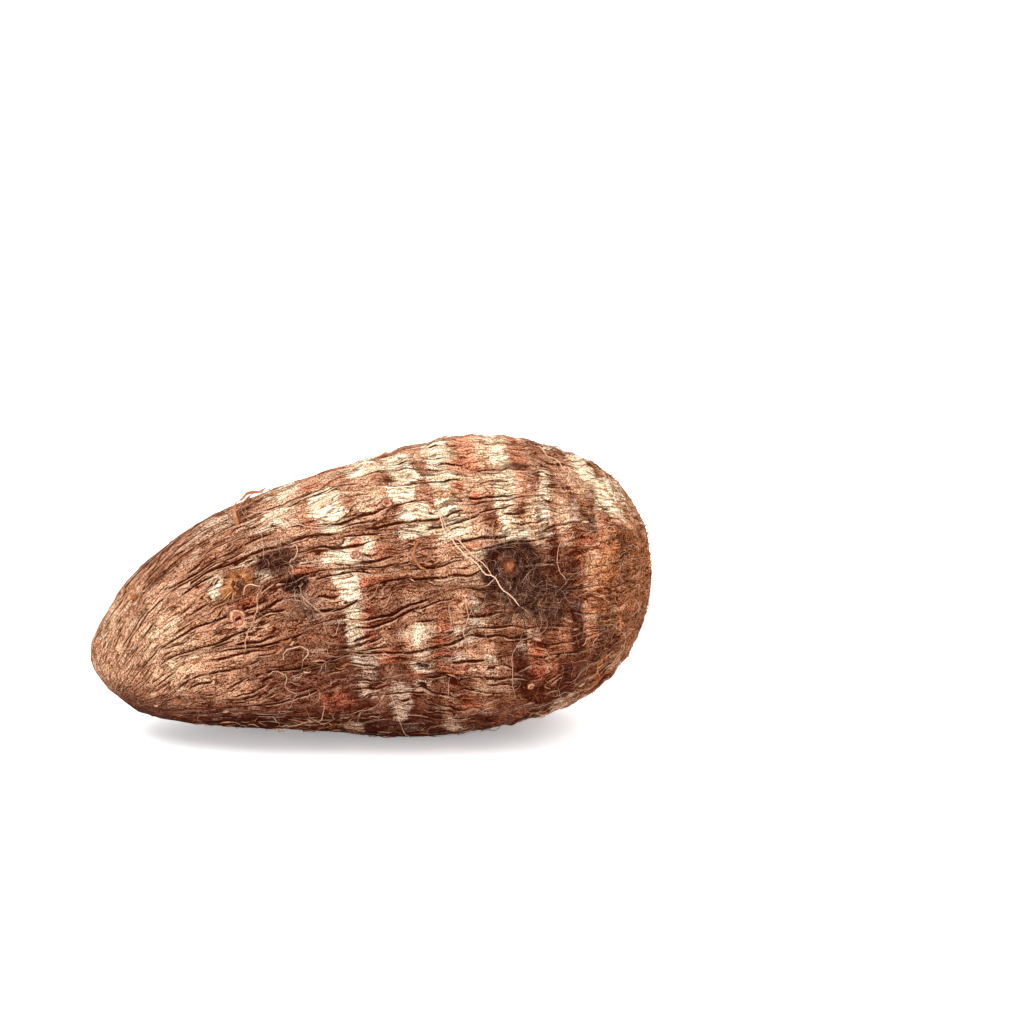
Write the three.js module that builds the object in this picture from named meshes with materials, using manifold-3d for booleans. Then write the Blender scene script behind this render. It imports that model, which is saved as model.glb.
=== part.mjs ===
// A whole taro corm, lying on its side: the swollen underground stem of the taro plant.
// It tapers to the left, where it grew from its parent, and ends in a blunt crown on the right.
// Leaf scars ring it, long furrows split its bark, and root scars, root stubs and buds stand on it.
// Millimetres, +Z up. The origin is on the ground, under the middle of the corm's box.
//
// A place on the bark is given by two angles in degrees: along, from 0 at the tail's pole to 180 at
// the crown's, and around, where 0 is the far side, 90 the top, 180 the near side and 270 the ground.

import * as THREE from "three";
import { mergeVertices } from "three/addons/utils/BufferGeometryUtils.js";
import Module from "manifold-3d";

// Driving dimensions: the corm's own shape

const HALF_LENGTH = 90;

// Stations from the tail (-1) to the crown (+1): the share of the half length, the radius that the
// girth would have there before the ends are rounded, and the height of the centre line.
const STATIONS = [
  { share: -1.0, girth: 30.5, height: 26.2 },
  { share: -0.86, girth: 39.2, height: 29.7 },
  { share: -0.65, girth: 40.2, height: 34.6 },
  { share: -0.33, girth: 41.0, height: 39.9 },
  { share: 0.0, girth: 44.0, height: 43.8 },
  { share: 0.28, girth: 48.8, height: 46.2 },
  { share: 0.55, girth: 54.0, height: 47.7 },
  { share: 0.8, girth: 60.8, height: 49.0 },
  { share: 0.95, girth: 69.0, height: 50.1 },
  { share: 1.0, girth: 79.5, height: 50.6 },
];

// How far each pole of the bark's pattern is turned away from the end of the corm, in degrees, and
// the place along where that turn has died away.
const TAIL_DOWN = 26;
const TAIL_NEAR = 9;
const TAIL_TURN_ENDS = 118;
const CROWN_AWAY = 11;
const CROWN_TURN_STARTS = 112;

// The relief dies away over this height above the flat spot that the corm rests on.
const REST_FADE_STARTS = 0.2;
const REST_FADE_ENDS = 5;

// Driving dimensions: rings, furrows and ends

const RING_COUNT = 13;
const RING_FIRST = 77.9;
const RING_GAP = 6.5;
const RING_SINK = 0.6;
const RING_STEP = 0.8;
const RING_CREST = 0.3;

const FURROW_COUNT = 40;
const FURROW_DEPTH = 1.5;
const FURROW_PUFF = 0.35;
// The share of a furrow's depth that is left where it closes up.
const FURROW_CLOSED = 0.35;

const TAIL_ROWS = 14;
const COLUMNS = FURROW_COUNT * 2;

// The scar where the tail broke off its parent, as places along and heights above the bark.
const TAIL_SCAR = [
  { along: 0, height: -1.2 },
  { along: 4, height: -0.9 },
  { along: 6.5, height: 0.5 },
  { along: 9.5, height: 0.1 },
];

// The crown beyond the last ring: narrow leaf scars, the cut leaf stalks, and the shoot's tip.
const CROWN = [
  { along: 157.0, height: 0.5 },
  { along: 159.5, height: -0.5 },
  { along: 160.5, height: 0.5 },
  { along: 163.5, height: -0.4 },
  { along: 164.5, height: 0.8 },
  { along: 167.0, height: 0.9 },
  { along: 168.3, height: -1.2 },
  { along: 171.5, height: -1.0 },
  { along: 172.3, height: 0.2 },
  { along: 174.0, height: -1.3 },
  { along: 175.5, height: -1.1 },
  { along: 176.5, height: 1.0 },
  { along: 180, height: 2.2 },
];

// Driving dimensions: what stands on the bark. Heights, depths and radii are in millimetres.

const BUDS = [
  { along: 117, around: 159.5, radius: 6.4, height: 2.8 },
  { along: 104, around: 32, radius: 5.2, height: 2.4 },
  { along: 132, around: 310, radius: 4.6, height: 2.2 },
];
const BUD_DISH_RADIUS = 11;
const BUD_DISH_DEPTH = 1.0;

const BROKEN_ROOT = { along: 65.6, around: 142.5, radius: 4.9, height: 1.5, hole: 1.3, depth: 3 };

// Holes left by thick roots that came away.
const ROOT_HOLES = [
  { along: 75.8, around: 150.2, radius: 2.1, depth: 3.2 },
  { along: 98.5, around: 194.5, radius: 0.9, depth: 1.3 },
  { along: 97.5, around: 209.2, radius: 0.9, depth: 1.3 },
  { along: 88, around: 26, radius: 1.9, depth: 2.6 },
  { along: 70, around: 318, radius: 1.4, depth: 2.0 },
];

// Ringed scars of thin roots: the ones in view are placed, the rest follow the rings round the back.
const ROOT_SCARS = [
  { along: 62.5, around: 155, radius: 2.0 },
  { along: 93.2, around: 125, radius: 1.4 },
  { along: 87.2, around: 141.2, radius: 1.3 },
  { along: 102.8, around: 182.8, radius: 1.2 },
  { along: 122, around: 208, radius: 1.2 },
];
const HIDDEN_SCAR_COUNT = 15;
const HIDDEN_SCAR_RADIUS = 1.3;
const SCAR_HEIGHT = 0.7;

// Short dry stubs of roots: the length that stands out, and the lean towards the crown in degrees.
const ROOT_STUBS = [
  { along: 46.5, around: 104.8, radius: 0.9, length: 2.6, lean: -30 },
  { along: 96, around: 88.8, radius: 0.8, length: 1.6, lean: 40 },
  { along: 58, around: 38, radius: 1.0, length: 3.4, lean: -35 },
  { along: 79, around: 352, radius: 0.9, length: 3.0, lean: 30 },
  { along: 96, around: 8, radius: 0.8, length: 2.4, lean: -20 },
  { along: 112, around: 335, radius: 0.9, length: 2.8, lean: 25 },
  { along: 121, around: 58, radius: 0.8, length: 2.2, lean: -25 },
];

// Sides of the round shapes, and how deep their roots are sunk into the corm.
const ROUND_SIDES = 10;
const SMALL_SIDES = 6;
const ROOTED = 3.4;

// Small helpers

const wasm = await Module();
wasm.setup();

const radians = THREE.MathUtils.degToRad;
const lerp = THREE.MathUtils.lerp;
const smoothstep = THREE.MathUtils.smoothstep;

// A steady number from 0 to 1 for each pair of whole numbers.
function chance(k, n) {
  const s = Math.sin(k * 12.9898 + n * 78.233) * 43758.5453;
  return s - Math.floor(s);
}

// The slope of one station value at station i, from its neighbours.
function slopeAt(key, i) {
  const before = STATIONS[Math.max(i - 1, 0)];
  const after = STATIONS[Math.min(i + 1, STATIONS.length - 1)];
  return (after[key] - before[key]) / (after.share - before.share);
}

// One station value at any share of the half length, on a smooth curve through the stations.
function alongBody(key, share) {
  const c = THREE.MathUtils.clamp(share, -1, 1);
  let i = 0;
  while (i < STATIONS.length - 2 && STATIONS[i + 1].share <= c) i += 1;
  const start = STATIONS[i];
  const end = STATIONS[i + 1];
  const gap = end.share - start.share;
  const u = (c - start.share) / gap;
  const v = 1 - u;
  return (
    start[key] * (1 + 2 * u) * v * v +
    slopeAt(key, i) * gap * u * v * v +
    end[key] * (3 - 2 * u) * u * u -
    slopeAt(key, i + 1) * gap * u * u * v
  );
}

// The smooth body. Its functions take both angles in radians.

// How far furrow k strays from its even place, as a share of the gap between two furrows.
function furrowSway(k, along) {
  const pace = 9 + 5 * chance(k, 1);
  return (chance(k, 2) - 0.5) * 0.5 + 0.22 * Math.sin(along * pace + chance(k, 3) * 2 * Math.PI);
}

// Furrows and rings wander from their even places, less and less towards the poles.
function wander(along, around) {
  const place = (around * FURROW_COUNT) / (2 * Math.PI);
  const k = Math.floor(place + 1e-6);
  const left = furrowSway(k % FURROW_COUNT, along);
  const right = furrowSway((k + 1) % FURROW_COUNT, along);
  const own = (lerp(left, right, smoothstep(place - k, 0, 1)) * 2 * Math.PI) / FURROW_COUNT;
  const shared = 0.05 * Math.sin(3 * around + 4 * along) + 0.03 * Math.sin(7 * around - 6 * along + 1);
  const rings = 0.014 * Math.sin(3 * around + 1.3) + 0.009 * Math.sin(8 * around + 2 * along);
  const fade = Math.sqrt(Math.sin(along));
  return { along: along + fade * rings, around: around + fade * (own + shared) };
}

// The direction of a place on a plain ball, with each pole then turned to where it really is.
function direction(along, around) {
  const d = new THREE.Vector3(
    -Math.cos(along),
    Math.sin(along) * Math.cos(around),
    Math.sin(along) * Math.sin(around),
  );
  const tail = 1 - smoothstep(along, 0, radians(TAIL_TURN_ENDS));
  const crown = smoothstep(along, radians(CROWN_TURN_STARTS), Math.PI);
  d.applyAxisAngle(new THREE.Vector3(0, -1, 0), radians(TAIL_DOWN) * tail);
  d.applyAxisAngle(new THREE.Vector3(0, 0, 1), radians(TAIL_NEAR) * tail + radians(CROWN_AWAY) * crown);
  return d;
}

// The ball stretched to the half length, with girth and height from the stations, and broad lumps.
function smoothCorm(along, around) {
  const place = wander(along, around);
  const d = direction(place.along, place.around);
  const lumps =
    0.7 * Math.sin(2 * around + 3 * along) +
    0.6 * Math.sin(3 * around - 5 * along + 2) +
    0.4 * Math.sin(5 * around + 8 * along + 4);
  const girth = alongBody("girth", d.x) + lumps * Math.sin(along);
  return new THREE.Vector3(HALF_LENGTH * d.x, girth * d.y, alongBody("height", d.x) + girth * d.z);
}

// The outward normal of the smooth corm, from short steps both ways on it.
function outward(along, around) {
  const step = 0.02;
  const a = THREE.MathUtils.clamp(along, 0.06, Math.PI - 0.06);
  const lengthwise = smoothCorm(a + step, around).sub(smoothCorm(a - step, around));
  const across = smoothCorm(a, around + step).sub(smoothCorm(a, around - step));
  return across.cross(lengthwise).normalize();
}

// The relief on the bark

const ringAngle = (k) => radians(RING_FIRST + RING_GAP * k);

// The rows of the mesh with their heights: the tail, two rows for each ring, then the crown. A leaf
// scar sinks at its line, and the bark stands proud just past it and slopes down to the next one.
function makeRows() {
  const rows = TAIL_SCAR.map(({ along, height }) => ({ along: radians(along), height }));
  const scarEnd = rows[rows.length - 1].along;
  for (let i = 1; i <= TAIL_ROWS; i += 1) {
    rows.push({ along: lerp(scarEnd, ringAngle(0), i / (TAIL_ROWS + 1)), height: 0 });
  }
  for (let k = 0; k < RING_COUNT; k += 1) {
    const grown = lerp(0.5, 1, Math.min(k / 3, 1));
    rows.push({ along: ringAngle(k), height: -RING_SINK * grown });
    if (k < RING_COUNT - 1) {
      const crest = lerp(ringAngle(k), ringAngle(k + 1), RING_CREST);
      rows.push({ along: crest, height: RING_STEP * grown });
    }
  }
  CROWN.forEach(({ along, height }) => rows.push({ along: radians(along), height }));
  return rows;
}

// How far furrow k is open at a place along the corm: it closes up here and there, and at the ends.
function furrowOpen(k, along) {
  const pace = 13 + 8 * chance(k, 4);
  const wave = 0.5 + 0.5 * Math.sin(along * pace + 2 * Math.PI * chance(k, 5));
  const ends = smoothstep(along, 0.15, 0.6) * (1 - smoothstep(along, 2.45, 2.8));
  return lerp(FURROW_CLOSED, 1, smoothstep(wave, 0.1, 0.6)) * ends;
}

// Even columns run along the furrows, and odd ones along the swollen bark between two of them.
function furrowRelief(column, along) {
  const k = Math.floor(column / 2);
  if (column % 2 === 0) return -FURROW_DEPTH * furrowOpen(k, along);
  return FURROW_PUFF * furrowOpen(k, along);
}

// Each bud sits in a shallow dish.
const budPlaces = BUDS.map(({ along, around }) => smoothCorm(radians(along), radians(around)));

function dishRelief(point) {
  let relief = 0;
  for (const place of budPlaces) {
    relief -= BUD_DISH_DEPTH * (1 - smoothstep(point.distanceTo(place), 0.4 * BUD_DISH_RADIUS, BUD_DISH_RADIUS));
  }
  return relief;
}

// The bark with its relief, as one closed mesh whose underside is cut flat by the ground.
function makeBark() {
  const rows = makeRows();
  const bark = new THREE.SphereGeometry(1, COLUMNS, rows.length - 1);
  const position = bark.getAttribute("position");
  for (let n = 0; n < position.count; n += 1) {
    const { along, height } = rows[Math.floor(n / (COLUMNS + 1))];
    const atPole = along === 0 || along === Math.PI;
    const column = atPole ? 0 : (COLUMNS - (n % (COLUMNS + 1))) % COLUMNS;
    const around = (2 * Math.PI * column) / COLUMNS;
    const point = smoothCorm(along, around);
    const relief = height + furrowRelief(column, along) + dishRelief(point);
    const raised = relief * smoothstep(point.z, REST_FADE_STARTS, REST_FADE_ENDS);
    point.addScaledVector(outward(along, around), raised);
    position.setXYZ(n, point.x, point.y, Math.max(point.z, 0));
  }
  return bark;
}

// What stands on the bark and what is sunk into it

function toSolid(geometry) {
  geometry.deleteAttribute("normal");
  geometry.deleteAttribute("uv");
  const merged = mergeVertices(geometry);
  const vertProperties = new Float32Array(merged.getAttribute("position").array);
  const triVerts = new Uint32Array(merged.index.array);
  return new wasm.Manifold(new wasm.Mesh({ numProp: 3, vertProperties, triVerts }));
}

// The frame of a place on the bark: X towards the crown, Y outward, with Y leaning by lean degrees.
function frameAt({ along, around, lean = 0 }) {
  const a = radians(along);
  const t = radians(around);
  const up = outward(a, t);
  const ahead = smoothCorm(a + 0.02, t).sub(smoothCorm(a - 0.02, t)).normalize();
  const side = new THREE.Vector3().crossVectors(ahead, up).normalize();
  const frame = new THREE.Matrix4().makeBasis(ahead, up, side);
  frame.multiply(new THREE.Matrix4().makeRotationZ(-radians(lean)));
  return frame.setPosition(smoothCorm(a, t));
}

// A turned shape from [radius, height] points, from the axis below to the axis above.
function turned(points, place, sides) {
  const profile = points.map(([radius, height]) => new THREE.Vector2(radius, height));
  return new THREE.LatheGeometry(profile, sides).applyMatrix4(frameAt(place));
}

// A bud: a ring of scales with a pointed tip in the middle.
function bud(place) {
  const { radius: r, height: h } = place;
  const profile = [
    [0, -ROOTED],
    [r, -ROOTED],
    [r, -0.6],
    [0.8 * r, 0.3],
    [0.62 * r, 0.5],
    [0.5 * r, -0.3],
    [0.42 * r, 0.1],
    [0.3 * r, 0.7 * h],
    [0.12 * r, h],
    [0, 1.05 * h],
  ];
  return turned(profile, place, ROUND_SIDES);
}

// The torn rim round a broken root: a ring of rays, every second one lower and shorter.
function tornRim(place) {
  const { radius: r, height: h } = place;
  const profile = [
    [0, -ROOTED],
    [r, -ROOTED],
    [r, -0.2],
    [0.72 * r, h],
    [0.45 * r, 0.5 * h],
    [0, 0.2 * h],
  ];
  const rim = new THREE.LatheGeometry(
    profile.map(([radius, height]) => new THREE.Vector2(radius, height)),
    2 * SMALL_SIDES,
  );
  const position = rim.getAttribute("position");
  for (let n = 0; n < position.count; n += 1) {
    const ray = Math.floor(n / profile.length) % (2 * SMALL_SIDES);
    const low = ray % 2 === 1 && position.getY(n) > -ROOTED;
    if (low) position.setXYZ(n, 0.75 * position.getX(n), 0.55 * position.getY(n), 0.75 * position.getZ(n));
  }
  return rim.applyMatrix4(frameAt(place));
}

// A ringed scar: a low rim round a dimple.
function rootScar(place) {
  const { radius: r } = place;
  const profile = [
    [0, -ROOTED],
    [1.3 * r, -ROOTED],
    [1.3 * r, -0.3],
    [0.85 * r, SCAR_HEIGHT],
    [0.4 * r, 0.7 * SCAR_HEIGHT],
    [0, 0.1],
  ];
  return turned(profile, place, SMALL_SIDES);
}

function rootStub(place) {
  const { radius: r, length } = place;
  const profile = [
    [0, -ROOTED],
    [1.4 * r, -ROOTED],
    [r, 0.3 * length],
    [0.75 * r, length],
    [0, 0.9 * length],
  ];
  return turned(profile, place, SMALL_SIDES);
}

// A hole that narrows downwards.
function hole(place) {
  const { radius: r, depth } = place;
  const profile = [
    [0, -depth],
    [0.5 * r, -0.9 * depth],
    [r, 0.2],
    [1.2 * r, 2.5],
    [0, 2.5],
  ];
  return turned(profile, place, SMALL_SIDES);
}

// The scars round the back and on top follow the rings at random places, clear of the flat spot.
function hiddenScars() {
  const scars = [];
  for (let k = 0; k < HIDDEN_SCAR_COUNT; k += 1) {
    const along = 50 + (95 * (k + 0.5)) / HIDDEN_SCAR_COUNT;
    const around = -50 + 150 * chance(k, 8);
    scars.push({ along, around: (around + 360) % 360, radius: HIDDEN_SCAR_RADIUS * lerp(0.75, 1.25, chance(k, 9)) });
  }
  return scars;
}

function makeCorm() {
  const standing = [
    ...BUDS.map(bud),
    tornRim(BROKEN_ROOT),
    ...ROOT_SCARS.map(rootScar),
    ...hiddenScars().map(rootScar),
    ...ROOT_STUBS.map(rootStub),
  ];
  const brokenRootHole = { ...BROKEN_ROOT, radius: BROKEN_ROOT.hole };
  const sunk = [...ROOT_HOLES.map(hole), hole(brokenRootHole)];
  let solid = toSolid(makeBark());
  for (const geometry of standing) solid = solid.add(toSolid(geometry));
  for (const geometry of sunk) solid = solid.subtract(toSolid(geometry));
  const { vertProperties, triVerts } = solid.getMesh();
  const geometry = new THREE.BufferGeometry();
  geometry.setAttribute("position", new THREE.BufferAttribute(vertProperties, 3));
  geometry.setIndex(new THREE.BufferAttribute(triVerts, 1));
  return geometry;
}

const cormGeometry = makeCorm();
cormGeometry.computeBoundingBox();
cormGeometry.computeVertexNormals();
const middle = cormGeometry.boundingBox.getCenter(new THREE.Vector3());

const cormMaterial = new THREE.MeshStandardMaterial({ color: 0xa9795a, roughness: 0.85, metalness: 0 });
const corm = new THREE.Mesh(cormGeometry, cormMaterial);
corm.name = "corm";
corm.position.set(-middle.x, -middle.y, 0);

const taro = new THREE.Group();
taro.add(corm);

export default taro;
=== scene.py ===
"""A whole taro corm on its side: cracked bark, leaf scars, buds, root scars, loose fibres, and a pale stage.

A place on the bark is given by two angles in degrees: along, from 0 at the tail's pole to 180 at the crown's,
and around, where 0 is the far side, 90 the top, 180 the near side and 270 the ground. Shapes are worked out
in millimetres and put into their meshes in metres.
"""

import math

import bpy
import numpy as np
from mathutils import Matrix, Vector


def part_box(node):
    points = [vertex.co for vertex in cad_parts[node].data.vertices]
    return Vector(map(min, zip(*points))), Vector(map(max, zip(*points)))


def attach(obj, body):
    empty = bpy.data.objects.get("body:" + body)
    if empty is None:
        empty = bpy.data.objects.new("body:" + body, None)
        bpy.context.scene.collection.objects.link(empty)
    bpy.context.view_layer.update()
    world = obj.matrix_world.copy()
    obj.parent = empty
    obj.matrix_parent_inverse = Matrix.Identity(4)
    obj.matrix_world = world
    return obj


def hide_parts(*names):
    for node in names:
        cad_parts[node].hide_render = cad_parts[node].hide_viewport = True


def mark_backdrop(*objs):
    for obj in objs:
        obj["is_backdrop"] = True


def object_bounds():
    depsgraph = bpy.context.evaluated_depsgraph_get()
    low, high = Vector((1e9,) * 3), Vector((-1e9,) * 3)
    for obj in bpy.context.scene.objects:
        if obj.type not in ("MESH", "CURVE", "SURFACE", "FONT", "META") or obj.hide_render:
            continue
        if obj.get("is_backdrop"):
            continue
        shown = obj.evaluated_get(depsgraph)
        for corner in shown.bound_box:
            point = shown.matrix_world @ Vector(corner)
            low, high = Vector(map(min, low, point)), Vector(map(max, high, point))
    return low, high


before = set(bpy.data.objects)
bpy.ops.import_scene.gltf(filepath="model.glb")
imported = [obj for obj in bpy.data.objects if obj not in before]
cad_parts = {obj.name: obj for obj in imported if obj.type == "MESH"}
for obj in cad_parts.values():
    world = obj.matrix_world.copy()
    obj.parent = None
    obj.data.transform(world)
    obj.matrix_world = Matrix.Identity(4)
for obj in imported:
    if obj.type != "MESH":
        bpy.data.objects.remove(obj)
CAD_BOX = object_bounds()

bl_info = {
    "name": "Taro corm",
    "version": (1, 0, 0),
    "blender": (4, 5, 0),
    "location": "3D View > Sidebar > Taro",
    "description": "Builds a taro corm with cracked bark, leaf scars, buds and loose fibres",
    "category": "Add Mesh",
}

# The corm's own shape

HALF_LENGTH = 90.0

# Stations from the tail to the crown: share of the half length, girth radius, height of the centre line.
STATIONS = np.array([
    (-1.0, 30.5, 26.2),
    (-0.86, 39.2, 29.7),
    (-0.65, 40.2, 34.6),
    (-0.33, 41.0, 39.9),
    (0.0, 44.0, 43.8),
    (0.28, 48.8, 46.2),
    (0.55, 54.0, 47.7),
    (0.8, 60.8, 49.0),
    (0.95, 69.0, 50.1),
    (1.0, 79.5, 50.6),
])
SHARE, GIRTH, HEIGHT = 0, 1, 2

# How far the poles of the bark's pattern are turned from the corm's ends, and where the turns die away.
TAIL_DOWN = 26.0
TAIL_NEAR = 9.0
TAIL_TURN_ENDS = 118.0
CROWN_AWAY = 11.0
CROWN_TURN_STARTS = 112.0

# Relief that the ground presses flat.
REST_FADE_STARTS = 0.2
REST_FADE_ENDS = 5.0

# Leaf-scar rings
RING_COUNT = 13
RING_FIRST = 77.9
RING_GAP = 6.5
RING_RAGGED = 0.9
RING_ROWS = (0.0, 0.08, 0.18, 0.32, 0.48, 0.64, 0.8, 0.92)

# Furrows, and the finer cracks between them. A strip is the bark between two cracks.
FURROWS = 40
STRIPS_PER_FURROW = 3
STRIPS = FURROWS * STRIPS_PER_FURROW
SWAY_KEPT = 0.75
STRIP_COLUMNS = (0.0, 0.12, 0.36, 0.64, 0.88)
COLUMNS = STRIPS * len(STRIP_COLUMNS)

# The scars at both ends: place along, and height above the bark.
TAIL_SCAR = ((0, -1.2), (4, -0.9), (6.5, 0.5), (9.5, 0.1), (13, 0.0))
CROWN = (
    (155.9, 0.0),
    (157.0, 0.5),
    (159.5, -0.5),
    (160.5, 0.5),
    (163.5, -0.4),
    (164.5, 0.8),
    (167.0, 0.9),
    (168.3, -1.2),
    (171.5, -1.0),
    (172.3, 0.2),
    (174.0, -1.3),
    (175.5, -1.1),
    (176.5, 1.0),
    (180.0, 2.2),
)

# Buds and the broken root: along, around, radius, height. Holes: along, around, radius, depth.
# Scars: along, around, radius.
BUDS = ((117, 159.5, 6.4, 2.8), (104, 32, 5.2, 2.4), (132, 310, 4.6, 2.2))
BUD_DISH_RADIUS = 11.0
BROKEN_ROOT = (65.0, 142.8, 4.6, 1.3)
ROOT_HOLES = (
    (75.6, 152.2, 2.4, 2.6),
    (98.6, 198.0, 1.2, 1.3),
    (97.4, 211.1, 1.1, 1.2),
    (88, 26, 1.9, 2.2),
    (70, 318, 1.4, 1.7),
)
ROOT_SCARS = ((62.2, 156.0, 2.8), (93.2, 125, 1.4), (87.2, 141.2, 1.3), (102.8, 182.8, 1.2), (122, 208, 1.2))
# The profiles of the marks, outwards from the middle: shares of the radius and of the height.
SCAR_PROFILE = (
    (0, -0.5), (0.2, -0.5), (0.34, 0.2), (0.5, 0.75), (0.68, 0.9), (0.85, 0.5), (1.0, 0.35), (1.2, 0.0),
    (1.3, -1.5),
)
HOLE_PROFILE = (
    (0, -4.0), (0.5, -3.6), (0.75, -1.4), (0.95, 0.4), (1.1, 0.7), (1.3, 0.4), (1.5, -0.1), (1.55, -2.0),
)
STUMP_PROFILE = (
    (0, -0.8), (0.16, -0.7), (0.3, 0.3), (0.45, 0.9), (0.62, 0.7), (0.8, 0.45), (1.0, 0.1), (1.06, -1.0),
)
BUD_PROFILE = (
    (0, 0.6), (0.08, 0.66), (0.16, 0.6), (0.26, 0.44), (0.31, 0.26), (0.4, 0.34), (0.52, 0.26), (0.56, 0.12),
    (0.66, 0.2), (0.78, 0.1), (0.82, -0.04), (0.92, 0.02), (1.04, -0.1), (1.08, -0.6),
)
HIDDEN_SCARS = 15
HIDDEN_SCAR_RADIUS = 1.3
# Root stubs: along, around, radius, length, lean towards the crown.
ROOT_STUBS = (
    (46.5, 104.8, 0.9, 2.6, -30),
    (96, 88.8, 0.8, 1.6, 40),
    (58, 38, 1.0, 3.4, -35),
    (79, 352, 0.9, 3.0, 30),
    (96, 8, 0.8, 2.4, -20),
    (112, 335, 0.9, 2.8, 25),
    (121, 58, 0.8, 2.2, -25),
)

# Patches of colour: along, around, half length along, half width around, strength.
CREAM_PATCHES = (
    (83.2, 121, 2.6, 10, 1.0),
    (86.0, 141, 4.2, 5, 1.0),
    (85.0, 157, 2.0, 6, 0.9),
    (84.8, 174, 2.5, 14, 0.85),
    (86.2, 194, 2.8, 9, 0.75),
    (84.6, 210, 2.4, 6, 0.5),
    (97.5, 106, 2.6, 14, 0.85),
    (96.2, 120, 2.4, 5, 1.0),
    (98.6, 130, 3.4, 3, 0.95),
    (98.6, 135, 3.4, 3, 0.95),
    (99.5, 184, 2.0, 3, 0.6),
    (99.5, 190, 2.0, 2.5, 0.6),
    (98.6, 199.0, 2.6, 4.5, 0.55),
    (97.6, 211.0, 2.4, 3.5, 0.5),
    (106.0, 196.0, 2.2, 8.0, 0.45),
    (108.4, 187.0, 2.4, 4.0, 0.4),
    (111.5, 180.0, 2.0, 6.0, 0.35),
    (113.6, 200.0, 1.6, 6.0, 0.4),
    (105.0, 97, 2.6, 14, 0.8),
    (103.6, 117, 2.4, 6, 0.95),
    (104.2, 129, 2.6, 4, 0.9),
    (106.0, 138, 3.2, 4.5, 1.0),
    (112.0, 150, 2.0, 4, 0.35),
    (117.0, 100, 2.4, 12, 0.6),
    (117.4, 125, 3.2, 13, 1.0),
    (118.8, 144.5, 3.2, 4.5, 1.0),
    (121.1, 192.5, 1.6, 3, 0.45),
    (125.5, 130, 1.3, 20, 0.85),
    (133.0, 137, 1.2, 8, 0.75),
    (135.0, 70, 4.0, 16, 0.8),
    (138.0, 96, 3.2, 18, 1.1),
    (142.4, 122, 3.0, 12, 2.0),
    (146.0, 131, 3.2, 9, 2.0),
    (150.0, 116, 3.0, 14, 0.7),
    (60.4, 139, 2.0, 4.5, 0.75),
    (67.6, 135, 2.0, 1.4, 0.8),
    (70.6, 144.5, 1.6, 2.6, 0.75),
    (76.0, 157.4, 1.8, 3.4, 0.5),
    (74.0, 118, 5.0, 7, 0.4),
    (66.0, 98, 7.0, 10, 0.3),
)
RED_FLECKS = (
    (87.5, 137.5, 1.4, 2.0, 0.9),
    (109.0, 105, 3.4, 6, 1.0),
    (110.6, 88, 2.2, 16, 0.7),
    (106.2, 121, 1.6, 2.0, 0.9),
    (110.0, 126.5, 1.2, 3.0, 0.9),
    (110.0, 146.5, 2.2, 2.0, 0.8),
    (80.0, 126, 1.6, 3.0, 0.7),
    (77.6, 147.6, 2.0, 2.8, 1.2),
    (65.5, 151.0, 3.0, 3.0, 0.75),
    (93.0, 141.5, 4.6, 1.8, 0.6),
    (89.6, 157.2, 2.4, 2.2, 0.8),
    (87.6, 174, 1.5, 10, 0.85),
    (92.0, 189.5, 3.6, 2.6, 0.8),
    (91.4, 195, 2.6, 3.0, 0.8),
    (96.9, 205, 2.4, 4.0, 0.65),
    (75.7, 214, 5.0, 5.0, 0.7),
    (103.8, 178, 1.4, 3, 0.6),
    (103.9, 182, 1.6, 2.4, 0.8),
    (103.9, 187, 1.4, 2.4, 0.85),
    (104.6, 193, 3.2, 2.4, 0.8),
    (105.2, 201, 3.8, 3.2, 0.75),
    (119.8, 122, 1.5, 15, 0.85),
    (121.0, 100, 2.4, 10, 0.7),
    (123.5, 199, 1.4, 9, 0.85),
    (136.0, 151, 1.6, 2.0, 0.8),
    (141.0, 141.4, 1.3, 2.4, 1.5),
    (145.8, 141.2, 1.6, 2.4, 1.3),
    (133.0, 152, 1.2, 9, 0.6),
    (139.4, 150, 1.2, 12, 0.5),
    (55.0, 262, 6.0, 10, 0.5),
)
DARK_PATCHES = (
    (117.6, 160, 6.0, 11.5, 1.5),
    (122.6, 172, 7.0, 8.5, 0.9),
    (127.0, 180, 4.5, 7, 0.45),
    (114.0, 176, 4.0, 7, 0.4),
    (131.0, 163, 1.6, 8, 0.45),
    (124.4, 146, 0.9, 12, 0.5),
    (137.5, 124, 1.3, 9, 0.5),
    (136.5, 143, 2.2, 5, 0.5),
    (75.6, 151.8, 2.4, 3.6, 1.6),
    (72.6, 139.4, 3.8, 5.0, 0.95),
    (66.0, 146.8, 3.4, 1.6, 0.6),
    (120.0, 108.0, 3.0, 4.0, 0.55),
    (78.0, 195.0, 5.0, 9.0, 0.35),
    (98.6, 198.0, 1.1, 1.5, 1.5),
    (97.4, 211.1, 1.1, 1.5, 1.4),
    (104, 32, 5.5, 9, 0.9),
    (132, 310, 5.5, 8, 0.8),
)

# Fibres and flakes

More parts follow.
